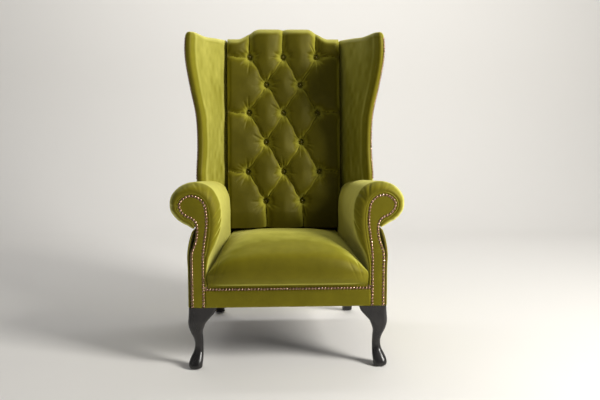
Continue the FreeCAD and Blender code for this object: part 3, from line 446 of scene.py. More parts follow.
# Share along a line, distance to the stretch of line, and signed distance to its whole length
def toLine(x, z, start, end):
    ax, az = start
    bx, bz = end
    dx, dz = bx - ax, bz - az
    length = math.hypot(dx, dz)
    t = np.clip(((x - ax) * dx + (z - az) * dz) / length**2, 0, 1)
    distance = np.hypot(x - ax - t * dx, z - az - t * dz)
    return t, distance, ((x - ax) * dz - (z - az) * dx) / length


# Small folds that run out from the buttons
def radialFolds():
    rng = np.random.default_rng(31)
    count = tufting["folds"]
    folds = []
    for x, z, *_ in buttonPlaces():
        start = rng.uniform(0, 2 * math.pi)
        for k in range(count):
            angle = start + (k + rng.uniform(-0.3, 0.3)) * 2 * math.pi / count
            length = rng.uniform(*tufting["foldLength"])
            deep = rng.uniform(*tufting["foldDepth"])
            tip = (x + math.cos(angle) * length, z + math.sin(angle) * length * 1.15)
            folds.append(((x, z), tip, deep, rng.uniform(*tufting["foldWidth"])))
    return folds


pleats, folds = pleatLines(), radialFolds()


# Height of the cover in front of the button plane: the pillow less what pleats and buttons pull in
def quiltHeight(x, z):
    side = np.clip((np.abs(x) - buttonPitch(z)) / (chair["backHalf"] - buttonPitch(z)), 0, 1)
    fall = 1 - np.clip((side - tufting["sideFall"]) / (1 - tufting["sideFall"]), 0, 1) ** 2
    full = tufting["crown"] + undulation(x, z, *tufting["pillowWave"])
    total, lip = np.ones_like(x), np.zeros_like(x)
    for start, end, last, middle, reach in pleats:
        t, distance, lean = toLine(x, z, start, end)
        arch = np.sin(math.pi * t)
        bow = tufting["bow"] * np.sin(2 * math.pi * t) + tufting["waver"] * np.sin(5 * math.pi * t + start[0] * 40)
        lean = lean + bow
        distance = np.hypot(np.where((t > 0) & (t < 1), np.abs(lean), distance), tufting["pleatRound"])
        level = last * t + (middle - last * 0.5) * arch ** 1.3
        near = np.clip(distance / (reach * (1 - tufting["waist"] * arch)), 0, 1)
        near = tufting["nearShare"] * (1 - (1 - (1 - near) ** 2.4) ** 0.62)
        wide = (1 - tufting["nearShare"]) * np.clip(1 - distance / tufting["swell"], 0, 1) ** 2
        total += np.exp(np.clip((full - level) * (near + wide), 0, 1) / tufting["blend"]) - 1
        folded = tufting["lip"] * np.exp(-lean / tufting["lipWidth"]) * arch
        lip += np.where((t > 0.12) & (t < 0.88) & (lean > 0), folded, 0)
    for bx, bz, *_ in buttonPlaces():
        distance = np.hypot(x - bx, (z - bz) / 1.08)
        funnel = np.exp(-(np.clip(distance - tufting["pitRadius"], 0, 1) / tufting["pitReach"]) ** 0.95)
        pull = (full + tufting["pitDepth"]) * funnel * smooth((tufting["pitLimit"] - distance) / 0.05)
        total += np.exp(pull / tufting["blend"]) - 1
    height = full - tufting["blend"] * np.log(total) + lip
    for start, tip, deep, width in folds:
        t, distance, _ = toLine(x, z, start, tip)
        share = np.sin(math.pi * np.clip(t * 0.85 + 0.15, 0, 1)) ** 0.8
        height -= deep * bump(distance, width * (0.6 + 0.8 * t)) * share
    height += undulation(x, z, *tufting["clothWave"])
    return lerp(tufting["edgeDepth"], height, fall)


# One closed section per column: up the front, round the roll, over the crest, down inside
def tuftedBack():
    rear, lining = chair["postBack"] - 0.001, tufting["lining"]
    columns = []
    for x in np.linspace(-chair["backHalf"], chair["backHalf"], tufting["columns"]):
        dip = sum(deep * bump(abs(x) - middle, width) for middle, deep, width in tufting["topDips"])
        top = float(crestHeight(x)) - dip
        frontTop = top - tufting["rollDrop"]
        frontZ = np.linspace(tufting["bottom"], frontTop, tufting["frontRows"])
        height = quiltHeight(np.full_like(frontZ, x), frontZ)
        angle = np.linspace(0, math.pi / 2, tufting["rollRows"])[1:]
        rollY = planeY(frontTop) + tufting["topDepth"] - (tufting["topDepth"] + height[-1]) * np.cos(angle)
        t = np.linspace(0, 1, tufting["topRows"])[1:]
        topZ = top - tufting["railDrop"] * (0.25 * t + 0.75 * t**3)
        low = top - tufting["railDrop"] - 0.0028
        insideZ = np.array([low, low, lerp(low, chair["backBend"], 0.5), chair["backBend"], tufting["bottom"]])
        insideY = planeY(insideZ) + np.array([rear, lining + 0.0005, lining, lining, lining])
        y = np.concatenate([planeY(frontZ) - height, rollY, planeY(topZ) + lerp(tufting["topDepth"], rear, t), insideY])
        z = np.concatenate([frontZ, frontTop + tufting["rollDrop"] * np.sin(angle), topZ, insideZ])
        columns.append(np.stack([np.full_like(y, x), y, z], axis=1))
    piece = sweepPiece("tuftedBack", columns, ("inside_back_cover", "back_foam"), velvetBackShaded)


button = {
    "radius": 0.0092,
    "seat": -0.0045,           # middle against the button plane
    "top": 0.0064,
    "sides": 40,
    "tucks": 9,
    "tuckDepth": 0.012,
    # share of the radius, height
    "profile": ((0.30, -0.0052), (0.72, -0.0050), (0.93, -0.0034), (1.0, -0.0008), (0.985, 0.0016), (0.90, 0.0034),
                (0.72, 0.0049), (0.46, 0.0059), (0.20, 0.0062)),
}


def coveredButtons():
    sides = button["sides"]
    axis = Vector((0, -1, chair["backSlope"])).normalized()
    across = Vector((1, 0, 0))
    upward = axis.cross(across).normalized() * -1
    rng = np.random.default_rng(12)
    verts, faces = [], []
    for x, z, *_ in buttonPlaces():
        centre = Vector((x, float(planeY(z)), z)) + axis * button["seat"]
        phase = rng.uniform(0, 6)
        rings = []
        for share, lift in button["profile"]:
            ring = [len(verts) + k for k in range(sides)]
            rings.append(ring + ring[:1])
            for k in range(sides):
                a = 2 * math.pi * k / sides
                tuck = 1 + button["tuckDepth"] * math.sin(button["tucks"] * a + phase) * (share > 0.8)
                r = button["radius"] * share * tuck
                verts.append(centre + across * (r * math.cos(a)) + upward * (r * math.sin(a)) + axis * lift)
        verts.append(centre + axis * button["top"])
        for low, high in zip(rings, rings[1:]):
            faces += [(low[k], low[k + 1], high[k + 1], high[k]) for k in range(sides)]
        faces += [(rings[-1][k], rings[-1][k + 1], len(verts) - 1) for k in range(sides)]
        faces.append(tuple(reversed(rings[0][:-1])))
    piece = addPiece("coveredButtons", verts, faces, ("back_buttons",), velvetBackShaded)


tuftedBack()
coveredButtons()
print("back made")


# Arms

arm = {
    # outward from the body's front corner and up from the frame's underside
    "roll": ((-0.072, 0.136), (-0.081, 0.184), (-0.104, 0.234), (-0.1215, 0.312), (-0.114, 0.388),
             (-0.084, 0.436), (-0.030, 0.455), (0.025, 0.439), (0.060, 0.396), (0.059, 0.349),
             (0.030, 0.313), (0.002, 0.297), (-0.020, 0.285)),
    "rear": (-0.010, -0.010, -0.0095, -0.010, -0.002, 0.024),  # first points at the back, from its side
    "bottom": 0.0795,
    "fall": 0.105,             # drop of the roll per metre of depth
    "neck": 0.202,             # height below which it doesn't fall
    "edge": 0.034,             # depth of the rolled front edge
    "rearY": 0.130,
    "tuckY": 0.150,
    "rakeY": 0.10,             # from here on the sections lean with the back
    "topRearY": 0.28,
    "topFrom": 0.300,          # height at which the upper side begins
    "pad": 0.020,
    "hem": 0.0030,
    "around": 150,
    "edgeSteps": 30,
    "ringSwell": 0.009,        # the rolled edge stands forward of the nails
    "lengthSteps": 90,
}
gathers = {
    "seed": {"left": 41, "right": 57},
    "count": 46,
    "span": (0.30, 0.97),      # share of the way round
    "depth": (0.0006, 0.0020),
    "width": (0.0035, 0.0075),
    "middle": 0.012,           # behind the front edge
    "spread": 0.016,
    "drift": 0.10,
    "wave": (0.0010, 0.09),
    # larger folds: share of the way round, depth, width, middle behind the edge, spread, slant
    "folds": {
        "left": ((0.30, 0.0042, 0.010, 0.020, 0.014, 1.6), (0.36, 0.0032, 0.008, 0.026, 0.012, 1.2),
                 (0.62, 0.0034, 0.007, 0.016, 0.010, 0.6)),
        "right": ((0.50, 0.0058, 0.010, 0.016, 0.018, -0.8), (0.56, 0.0046, 0.007, 0.014, 0.016, 0.9),
                  (0.68, 0.0034, 0.006, 0.014, 0.010, 0.4), (0.33, 0.0028, 0.008, 0.020, 0.012, 1.4)),
    },
}
facing = {
    "line": ((-0.0545, 0.177), (-0.058, 0.220), (-0.0655, 0.272), (-0.0695, 0.325), (-0.065, 0.369),
             (-0.046, 0.398), (-0.015, 0.408), (0.010, 0.399), (0.026, 0.376), (0.019, 0.354),
             (-0.004, 0.334), (-0.025, 0.322), (-0.036, 0.300), (-0.035, 0.262), (-0.026, 0.227),
             (-0.017, 0.202), (-0.015, 0.177)),
    "margin": 0.0055,
    "foot": 0.001,
    "thick": 0.0034,
    "grid": 0.0035,
    "crown": 0.00176,
    "creaseZ": 0.436,
    "crease": ((0.0014, -0.0015, 0.0022), (-0.0012, 0.0030, 0.0026)),  # height, above creaseZ, width
    "wave": (0.0005, 0.022),
    "seed": {"left": 70, "right": 72},
}


def facingOutline(margin):
    pts = [(chair["halfFront"] + dx, up(dz)) for dx, dz in facing["line"]]
    pts = np.array([(pts[0][0], up(0.0))] + pts + [(pts[-1][0], up(0.0))])
    moved = leftOf(pts, margin)
    moved[0] = (pts[0][0] - margin, up(0.0))
    moved[1][0] = pts[1][0] - margin
    moved[-1] = (pts[-1][0] + margin, up(0.0))
    moved[-2][0] = pts[-2][0] + margin
    return moved


# The roll gets lower towards the back, its neck does not
def fallen(height, y):
    top = arm["roll"][6][1]
    share = max(0.0, (height - arm["neck"]) / (top - arm["neck"]))
    return height - share * arm["fall"] * max(0.0, y - chair["frontY"] - arm["edge"])


# Share of the way from the rolled front edge to the back
def armShare(y):
    return (y - chair["frontY"] - arm["edge"]) / (arm["rearY"] - chair["frontY"] - arm["edge"])


def armSection(y):
    points = []
    for i, (dx, dz) in enumerate(arm["roll"]):
        frontX = chair["halfFront"] + dx
        rearX = frontX - chair["taper"] * (arm["rearY"] - chair["frontY"] - arm["edge"])
        if i < len(arm["rear"]):
            rearX = chair["backHalf"] + arm["rear"][i]
        x = lerp(frontX, rearX, armShare(y))
        if y > arm["rearY"] and i < len(arm["rear"]):
            tuck = min((y - arm["rearY"]) / (arm["tuckY"] - arm["rearY"]), 1.0)
            x = lerp(rearX, max(rearX, chair["backHalf"] + 0.0005), tuck)
        points.append((x, up(fallen(dz, y))))
    return np.array([(points[0][0], up(arm["bottom"]))] + points)


# Fine gathers where the velvet turns over the front edge, and a few folds
def gatherField(side):
    seed = gathers["seed"][side]
    rng = np.random.default_rng(seed)
    marks = np.sort(rng.uniform(*gathers["span"], gathers["count"]))
    deeps = rng.uniform(*gathers["depth"], gathers["count"])
    widths = rng.uniform(*gathers["width"], gathers["count"])

    def field(around, depth, share):
        behind = depth - gathers["middle"]
        turn = bump(behind, gathers["spread"])
        value = np.zeros_like(around)
        for mark, deep, width in zip(marks, deeps, widths):
            drift = mark + gathers["drift"] * behind * math.sin(37 * mark)
            value -= deep * turn * bump(around - drift, width)
        for mark, deep, width, middle, spread, slant in gathers["folds"][side]:
            here = bump(depth - middle, spread)
            value -= deep * here * bump(around - mark - slant * (depth - middle), width)
        soft = undulation(around * 0.9, np.full_like(around, depth), *gathers["wave"], seed + 1)
        return value + soft * min(1.0, share)

    return field


def armPiece(side):
    frontPts = facingOutline(facing["margin"])[1:len(arm["roll"]) + 1]
    frontPts = np.concatenate([[(frontPts[0][0], up(arm["bottom"]))], frontPts])
    front = curveThrough(frontPts, arm["around"])
    frontIn = leftOf(front, -arm["hem"])
    start = chair["frontY"] + arm["edge"]
    rear = chair["backPlane"] + chair["postBack"] - 0.0005
    angles = [math.pi / 2 * k / arm["edgeSteps"] for k in range(arm["edgeSteps"])]
    stations = [(chair["frontY"] + arm["edge"] * (1 - math.cos(a)), math.sin(a)) for a in angles]
    stations += [(float(y), 1.0) for y in np.linspace(start, rear, arm["lengthSteps"])]
    around = np.linspace(0, 1, arm["around"])
    gather = gatherField(side)
    loops = []
    for y, share in stations:
        full = curveThrough(armSection(max(y, start)), arm["around"])
        outer = lerp(front, full, share)
        outer = leftOf(outer, gather(around, y - chair["frontY"], share))
        inner = lerp(frontIn, leftOf(full, -arm["pad"]), share)
        loop = np.concatenate([outer, inner[::-1]])
        rake = max(0.0, (y - arm["rakeY"]) / (rear - arm["rakeY"]))
        forward = arm["ringSwell"] * math.sin(math.pi * share) * (y < start)
        ys = y - forward + rake * chair["backSlope"] * np.maximum(0.0, loop[:, 1] - chair["backBend"])
        loops.append(np.stack([loop[:, 0], ys, loop[:, 1]], axis=1))
    piece = sidePiece("armRoll", side, loops, ("inside_arm_cover", "arm_pad"))


def insideOutline(points, outline):
    x, z = points[:, :1], points[:, 1:]
    (x0, z0), (x1, z1) = outline.T, np.roll(outline, 1, axis=0).T
    rise = np.where(z1 == z0, 1e-12, z1 - z0)
    crossed = ((z0 > z) != (z1 > z)) & (x < (x1 - x0) * (z - z0) / rise + x0)
    return crossed.sum(axis=1) % 2 == 1


def nearOutline(points, outline):
    best = np.full(len(points), 1e9)
    for start, end in zip(outline, np.roll(outline, -1, axis=0)):
        best = np.minimum(best, toLine(points[:, 0], points[:, 1], start, end)[1])
    return best


# Drop of a rounded edge, from the distance to it
def edgeDrop(distance, radius):
    return radius * (1 - np.sqrt(1 - (1 - np.clip(distance / (1.6 * radius), 0, 1)) ** 2))


# Flat covered panel: outline and inner grid joined by triangles, front face shaped by a field
def platePiece(name, outline, spacing, place, thick, shape, replaced, edgeRound=0.0016, *finish):
    low, high = outline.min(0), outline.max(0)
    us = np.arange(low[0] + spacing / 2, high[0], spacing)
    vs = np.arange(low[1] + spacing / 2, high[1], spacing)
    grid = np.array([(u + (0.5 * spacing if k % 2 else 0.0), v) for k, v in enumerate(vs) for u in us])
    grid = grid[insideOutline(grid, outline)]
    grid = grid[nearOutline(grid, outline) > spacing * 0.55]
    points = np.concatenate([outline, grid])
    edges = [(i, (i + 1) % len(outline)) for i in range(len(outline))]
    made = delaunay_2d_cdt([Vector(p) for p in points], edges, [], 1, 1e-7)
    flat = np.array([tuple(v) for v in made[0]])
    tris = [tuple(f) for f in made[2]]
    edgeDistance = nearOutline(flat, outline)
    lift = thick - edgeDrop(edgeDistance, edgeRound) + shape(flat[:, 0], flat[:, 1], edgeDistance)
    n = len(flat)
    verts = [place(u, v, h) for (u, v), h in zip(flat, lift)] + [place(u, v, 0.0) for u, v in flat]
    sides = [side for a, b, c in tris for side in ((a, b), (b, c), (c, a))]
    count = {}
    for a, b in sides:
        count[min(a, b), max(a, b)] = count.get((min(a, b), max(a, b)), 0) + 1
    faces = tris + [(c + n, b + n, a + n) for a, b, c in tris]
    faces += [(b, a, a + n, b + n) for a, b in sides if count[min(a, b), max(a, b)] == 1]
    return addPiece(name, verts, faces, replaced, *finish)


def facingPiece(side):
    pts = facingOutline(facing["margin"])
    curve = curveThrough(pts[1:-1], 190)
    footZ = up(facing["foot"])
    outline = np.concatenate([evenly([(pts[0][0], footZ), curve[0]], 40)[:-1], curve,
                              evenly([curve[-1], (pts[-1][0], footZ)], 40)[1:]])

    def shape(u, v, edge):
        crown = facing["crown"] * (1 - np.exp(-edge / 0.010))
        fold = sum(height * bump(v - facing["creaseZ"] - off, width) for height, off, width in facing["crease"])
        nap = undulation(u, v, *facing["wave"], facing["seed"][side])
        return crown + fold * (edge > 0.002) + nap * (1 - np.exp(-edge / 0.004))

    def place(u, v, h):
        return (-u if side == "left" else u, chair["frontY"] - 0.0002 - h, v)

    platePiece("armFacing_" + side, outline, facing["grid"], place, facing["thick"], shape, ("arm_facing_" + side,))


for side in ("right", "left"):
    armPiece(side)
    facingPiece(side)
print("arms made")


# Seat

seat = {
    # forward of the frame's front, up from its underside, share of the crown kept at the arms
    "profile": ((0.026, 0.092, 0.12), (0.044, 0.117, 0.12), (0.049, 0.147, 0.12), (0.036, 0.184, 0.12),
                (-0.022, 0.224, 0.12), (-0.122, 0.249, 0.15), (-0.262, 0.241, 0.35), (-0.537, 0.190, 0.95)),
    "sideBulge": 0.125,        # share of the forward bulge kept at the arms
    "coverDrop": 0.015,
    "coverGap": 0.0007,
    "sideGap": 0.004,
    "low": 0.117,
    "lip": 0.016,
    "deck": 0.085,
    "across": 181,
    "crowding": 1.35,          # brings the sections closer together towards the arms
    "along": 210,
    "broadWave": (0.0016, 0.11, 3),
    "fineWave": (0.0006, 0.035, 4),
    "nailPitch": 0.0114,
    "nailPull": 0.0006,
    # folds at the front corners: share of the half width, depth, width, slant
    "corners": ((0.955, 0.0040, 0.012, 0.10), (0.905, 0.0022, 0.010, 0.16), (0.985, 0.0020, 0.008, 0.05)),
    "cornerTop": 0.385,
}
border = {"thick": 0.0035, "grid": 0.004, "crown": 0.0016, "wave": (0.0007, 0.045, 81), "softness": 0.006}


def seatHalf(y):
    front, rear = chair["halfFront"] + arm["roll"][0][0], chair["backHalf"] + arm["rear"][0]
    return lerp(front, rear, armShare(y)) - seat["sideGap"]


# The cover from the nails up over the front and back, at a share of the half width
def seatLine(s):
    low = up(seat["low"])
    bulge, crown = 1 - abs(s) ** 6, 1 - abs(s) ** 4
    front = chair["frontY"] - chair["cloth"] - seat["coverGap"]
    points = [(front, chair["frameTop"] - seat["coverDrop"]), (front, chair["frameTop"] + 0.0005)]
    for forward, height, keep in seat["profile"]:
        y = chair["frontY"] - forward
        if forward > 0:
            y = lerp(front - seat["sideBulge"] * forward, y, bulge)
        z = up(height)
        if z > low:
            z = low + (z - low) * lerp(keep, 1.0, crown)
        points.append((y, z))
    return points


def sprungSeat():
    front, deck = chair["frontY"], up(seat["deck"])
    shares = np.linspace(-1, 1, seat["across"])
    loops = []
    for s in np.sign(shares) * (1 - (1 - np.abs(shares)) ** seat["crowding"]):
        line = curveThrough(seatLine(float(s)), seat["along"])
        y, z = line[:, 0], line[:, 1]
        x = s * seatHalf(y)
        rise = np.clip((z - 0.300) / 0.10, 0, 1)
        onFront = np.clip((-0.30 - y) / 0.08, 0, 1)
        away = undulation(x, y + 0.6 * z, *seat["broadWave"]) + undulation(x, y + z, *seat["fineWave"])
        away = away * smooth(rise)
        for place, deep, width, slant in seat["corners"]:
            fold = deep * bump(abs(s) - place + slant * rise, width) * smooth(rise)
            away = away - fold * (1 - smooth((z - seat["cornerTop"]) / 0.03))
        pulled = np.abs(np.sin(math.pi * x / seat["nailPitch"])) * bump(z - chair["frameTop"], 0.012)
        away = away - seat["nailPull"] * pulled * onFront
        y, z = leftOf(line, away * (1 - abs(s) ** 8)).T
        under = ((y[-1], 0.0, deck), (0.0, 0.0, deck), (front + seat["lip"], 0.0, deck),
                 (front, 0.0003, chair["frameTop"] + 0.0008), (front, 0.0003, chair["frameTop"] - seat["coverDrop"]))
        under = [(s * seatHalf(at), at - gap, height) for at, gap, height in under]
        loops.append(np.concatenate([np.stack([x, y, z], axis=1), under]))
    piece = sweepPiece("sprungSeat", loops, ("seat_cover", "seat_foam"), velvetSeatLit)


def frontBorder():
    half = facingOutline(facing["margin"])[0][0] - 0.0004
    low, high = up(facing["foot"]), chair["frameTop"] - seat["coverDrop"] - 0.0003
    corners = [(-half, low), (half, low), (half, high), (-half, high), (-half, low)]
    outline = np.concatenate([evenly(corners[i:i + 2], 18 if i % 2 else 150)[:-1] for i in range(4)])

    def shape(u, v, edge):
        crown = border["crown"] * np.sin(math.pi * np.clip((v - low) / (high - low), 0, 1))
        return crown + undulation(u, v, *border["wave"]) * (1 - np.exp(-edge / border["softness"]))

    def place(u, v, h):
        return (u, chair["frontY"] - 0.0005 - h, v)

    platePiece("frontBorder", outline, border["grid"], place, border["thick"], shape, ("front_border",))


sprungSeat()
frontBorder()
print("seat made")


# Wings

wing = {
    # height above the frame's underside, outward from the body's front corner
    "outer": ((0.450, -0.004), (0.562, -0.008), (0.682, -0.004), (0.785, 0.012), (0.890, 0.025),
              (0.950, 0.026), (1.000, 0.022)),
    # height above the frame's underside, front edge behind the frame's front
    "front": ((0.450, 0.342), (0.552, 0.366), (0.642, 0.371), (0.732, 0.353), (0.822, 0.317),
              (0.922, 0.283), (1.000, 0.286)),
    # the padded front edge: in from the outside, behind the front
    "edge": ((0.046, 0.052), (0.03496, 0.021), (0.019, 0.001), (0.006, 0.007), (0.0, 0.026)),
    "hollow": 0.0007,
    "bottom": 0.380,
    "top": 0.996,
    "rootDepth": 0.022,
    "around": 90,
    "rows": 150,
    "roundDrop": 0.020,
    "roundShrink": 0.013,
    "roundSteps": 14,
    "topSteps": 12,
    "topRun": 0.34,
    "topLifts": ((0.0070, 0.10, 0.18), (-0.0025, 0.50, 0.20)),  # height, share of the run, width
    "topBlend": 0.10,
    "insideSteps": 24,
    "panel": 0.004,
    "seed": {"right": 91, "left": 95},
    "broadWave": (0.0014, 0.10),
    "fineWave": (0.0005, 0.03),
}


# Plan line of the inside cover at a height, from the back round the front edge
def wingLine(z):
    height = z - chair["legHeight"]
    out = chair["halfFront"] + float(along(wing["outer"], height))
    front = chair["frontY"] + float(along(wing["front"], height))
    root = (chair["backHalf"] + 0.0005, float(planeY(z)) + wing["rootDepth"])
    edge = [(out - inward, front + behind) for inward, behind in wing["edge"]]
    middle = [lerp(a, b, 0.55) + wing["hollow"] for a, b in zip(root, edge[0])]
    return np.array([root, middle] + edge)


def wingRear(z):
    y = float(planeY(z)) + chair["postBack"] - 0.0003
    return bodyOut(y), y


# Height of the arm's roll below a point of the wing
def armTop(x, y):
    section = curveThrough(armSection(min(max(y, chair["frontY"] + arm["edge"]), arm["topRearY"])), 120)
    start = int(np.argmax(section[:, 1] > up(arm["topFrom"])))
    peak = int(np.argmax(section[:, 1]))
    inner, outer = section[start:peak + 1], section[peak:]
    if x <= section[peak, 0]:
        order = np.argsort(inner[:, 0])
        return float(np.interp(x, inner[order, 0], inner[order, 1]))
    stop = int(np.argmax(outer[:, 0])) + 1
    return float(np.interp(x, outer[:stop, 0], outer[:stop, 1]))


# Top edge: high at the rounded front corner, a little dip, then up to the crest
def wingTopLift(y):
    t = np.clip((y - chair["frontY"] - wing["front"][-1][1]) / wing["topRun"], 0, 1)
    return sum(height * bump(t - middle, width) for height, middle, width in wing["topLifts"])


def atHeight(line, z):
    return np.column_stack([line, np.broadcast_to(z, len(line))])


# Levels from the arm up, over the rounded top, and down again inside the padding
def wingPiece(side):
    seed, around = wing["seed"][side], wing["around"]
    top, bottom = up(wing["top"]), up(wing["bottom"])
    straightTop = top - wing["roundDrop"]
    share = np.linspace(0, 1, around)
    ends = np.clip(share / 0.08, 0, 1) * np.clip((1 - share) / 0.06, 0, 1)
    floor = np.array([min(bottom, armTop(x, y)) - 0.0015 for x, y in curveThrough(wingLine(bottom), around)])
    levels = []
    for t in np.linspace(0, 1, wing["rows"]):
        level = lerp(bottom, straightTop, t)
        at = share * 0.40, np.full(around, level)
        soft = undulation(*at, *wing["broadWave"], seed) + undulation(*at, *wing["fineWave"], seed + 1)
        line = leftOf(curveThrough(wingLine(level), around), -soft * ends)
        levels.append(atHeight(line, lerp(floor, straightTop, t)))
    for a in np.linspace(0, math.pi / 2, wing["roundSteps"] + 1)[1:]:
        z = straightTop + wing["roundDrop"] * math.sin(a)
        line = leftOf(curveThrough(wingLine(z), around), wing["roundShrink"] * (1 - math.cos(a)))
        levels.append(atHeight(line, z))
    rearX, rearY = wingRear(top)
    start, panelIn = levels[-1][:, :2], wing["panel"] + 0.0005
    outline = evenly([start[0] + (0.0002, 0.001), (start[0, 0] + 0.0002, rearY), (rearX - panelIn, rearY),
                      start[-1] + (-panelIn, 0.006)], around)
    for t in np.linspace(0, 1, wing["topSteps"] + 1)[1:]:
        levels.append(atHeight(lerp(start, outline, t), top))
    levels.append(atHeight(outline, top - 0.003))

    def padBack(z):
        root, *_, out = wingLine(z)
        return evenly([root + (0.006, 0.004), out + (-wing["panel"] - 0.001, 0.006)], around)

    for z in np.linspace(top - 0.0032, bottom, wing["insideSteps"]):
        levels.append(atHeight(padBack(float(z)), z))
    levels.append(atHeight(padBack(bottom), floor))
    loops = np.array(levels).transpose(1, 0, 2)
    high = smooth((loops[:, :, 2] - (top - wing["topBlend"])) / wing["topBlend"])
    loops[:, :, 2] += wingTopLift(loops[:, :, 1]) * high
    piece = sidePiece("wing", side, loops, ("inside_wing_cover", "wing_pad"))


for side in ("right", "left"):
    wingPiece(side)
print("wings made")


# Covered panels outside the arms, wings and back

panel = {
    "thick": 0.004,
    "crown": 0.0024,
    "edge": 0.0016,
    "softness": 0.012,
    "lift": 0.001,
    # outward from the body's side, up from the frame's underside
    "line": ((0.0, 0.001), (0.0, 0.070), (0.0, 0.140), (0.0, 0.202), (-0.008, 0.247), (-0.020, 0.284)),
    "across": 60,
    "steps": 80,
    "wave": (0.0007, 0.07, 41),
    "backGrid": 0.010,
    "backWave": (0.0009, 0.10, 43),
    "lean": 0.006,
}


# Outward swell of a covered panel, from the distance to its edge
def panelSwell(edge):
    return panel["crown"] * (1 - np.exp(-edge / panel["softness"])) - edgeDrop(edge, panel["edge"])


# Closed section of a panel: its outer face, then its inner one
def panelLoop(x, y, z, swell):
    outer, inner = [np.stack(np.broadcast_arrays(x + out, y, z), axis=1) for out in (swell, -panel["thick"])]
    return np.concatenate([outer, inner[::-1]])


def outsideArm(side):
    line = curveThrough(panel["line"], panel["across"])
    ends = np.minimum(line[:, 1] - line[0, 1], line[-1, 1] - line[:, 1])
    rearY = chair["backPlane"] + chair["postBack"] - 0.0003
    loops = []
    for y in lerp(chair["frontY"], rearY, smooth(np.linspace(0, 1, panel["steps"]))):
        swell = panelSwell(np.minimum(ends, min(y - chair["frontY"], rearY - y)))
        swell = swell + undulation(line[:, 1], np.full(len(line), y), *panel["wave"]) * np.clip(ends / 0.03, 0, 1)
        heights = np.array([up(fallen(h, y)) for h in line[:, 1]])
        loops.append(panelLoop(bodyOut(y) + line[:, 0], y, heights, swell))
    sidePiece("outsideArm", side, loops, ("outside_arm_panel",))


def outsideWing(side):
    low, high = up(wing["bottom"]) + 0.0005, up(wing["top"]) - 0.008
    share = smooth(np.linspace(0, 1, panel["across"]))
    loops = []
    for t in smooth(np.linspace(0, 1, panel["steps"])):
        level = lerp(low, high, t)
        outX, outY = wingLine(level)[-1]
        rearX, rearY = wingRear(level)
        startY = outY + 0.004
        startX = outX + (rearX - outX) / (rearY - outY) * (startY - outY)
        x, y = lerp(startX, rearX, share), lerp(startY, rearY, share)
        floor = np.array([max(low, armTop(px, py) - 0.004) for px, py in zip(x, y)])
        swell = panelSwell(np.minimum(np.minimum(y - startY, rearY - y), high - level))
        loops.append(panelLoop(x, y, lerp(floor, high, t), swell))
    sidePiece("outsideWing", side, loops, ("outside_wing_panel",))


# The corners with points between them, a spacing apart
def filled(points, spacing):
    out = []
    for a, b in zip(points, points[1:]):
        steps = max(1, int(round(math.hypot(b[0] - a[0], b[1] - a[1]) / spacing)))
        out += [(lerp(a[0], b[0], k / steps), lerp(a[1], b[1], k / steps)) for k in range(steps)]
    return out


def outsideBack():
    rearY = chair["backPlane"] + chair["postBack"]
    sideX = bodyOut(rearY) - 0.0003
    shift = chair["taper"] * (rearY - chair["frontY"] - arm["edge"])
    roll = [(chair["halfFront"] + dx - shift, up(fallen(dz, rearY))) for dx, dz in arm["roll"][6:]]
    wingFoot = roll[0][1] + 0.0015
    wingSide = wingRear(wingFoot)[0]
    shoulder = up(wing["top"]) - chair["cloth"] - 0.002
    half = [(sideX, up(panel["lift"])), (sideX, up(panel["line"][3][1]))]
    half += [tuple(p) for p in evenly(curveThrough(roll[::-1], 200), 46)]
    half += [(roll[0][0], wingFoot), (wingSide, wingFoot), (wingSide - panel["lean"], shoulder)]
    half += [(float(x), float(crestHeight(x)) - tufting["railDrop"])
             for x in np.linspace(chair["backHalf"], 0, 40)]
    half = filled(half, panel["backGrid"]) + [half[-1]]
    outline = np.array(half + [(-x, z) for x, z in half[-2::-1]])

    def shape(u, v, edge):
        return panelSwell(edge) + undulation(u, v, *panel["backWave"]) * (1 - np.exp(-edge / 0.02))

    def place(u, v, h):
        return (u, float(planeY(v)) + chair["postBack"] + h, v)

    platePiece("outsideBack", outline, panel["backGrid"], place, panel["thick"], shape, ("outside_back_panel",),
               0.0001)


for side in ("right", "left"):
    outsideArm(side)
    outsideWing(side)
outsideBack()
print("outside panels made")


# Sheets under the seat, tacked tight

sheet = {"grid": 0.014, "edge": 0.0001, "wave": (0.0004, 0.05, 57)}
dust = {
    "outline": ((0.254, -0.357), (0.254, -0.256), (0.3351, -0.256), (0.3059, 0.231), (0.2655, 0.231),
                (0.2655, 0.248)),
    "top": 0.2278,
    "thick": 0.0008,
    "sag": 0.0035,
}
hessian = {"outline": ((0.2864, -0.346), (0.2104, 0.234)), "top": 0.3130, "thick": 0.0009, "sag": 0.0}


def stretchedSheet(name, spec, slot, replaced):
    corners = list(spec["outline"]) + [(-x, y) for x, y in reversed(spec["outline"])]
    outline = np.array(filled(corners + corners[:1], sheet["grid"]))
    low, high = outline.min(0), outline.max(0)

    def place(u, v, h):
        s, t = (u - low[0]) / (high[0] - low[0]), (v - low[1]) / (high[1] - low[1])
        drop = spec["sag"] * math.sin(math.pi * s) * math.sin(math.pi * t) + float(undulation(u, v, *sheet["wave"]))
        return (u, v, spec["top"] - drop - h)

    piece = platePiece(name, outline, sheet["grid"], place, spec["thick"], lambda u, v, edge: 0.0 * u, replaced,
                       sheet["edge"], finishes[slot], slot)


stretchedSheet("dustSheet", dust, "dust_cloth", ("dust_cover",))
stretchedSheet("hessianSheet", hessian, "hessian", ("seat_hessian",))
print("sheets made")


# Legs

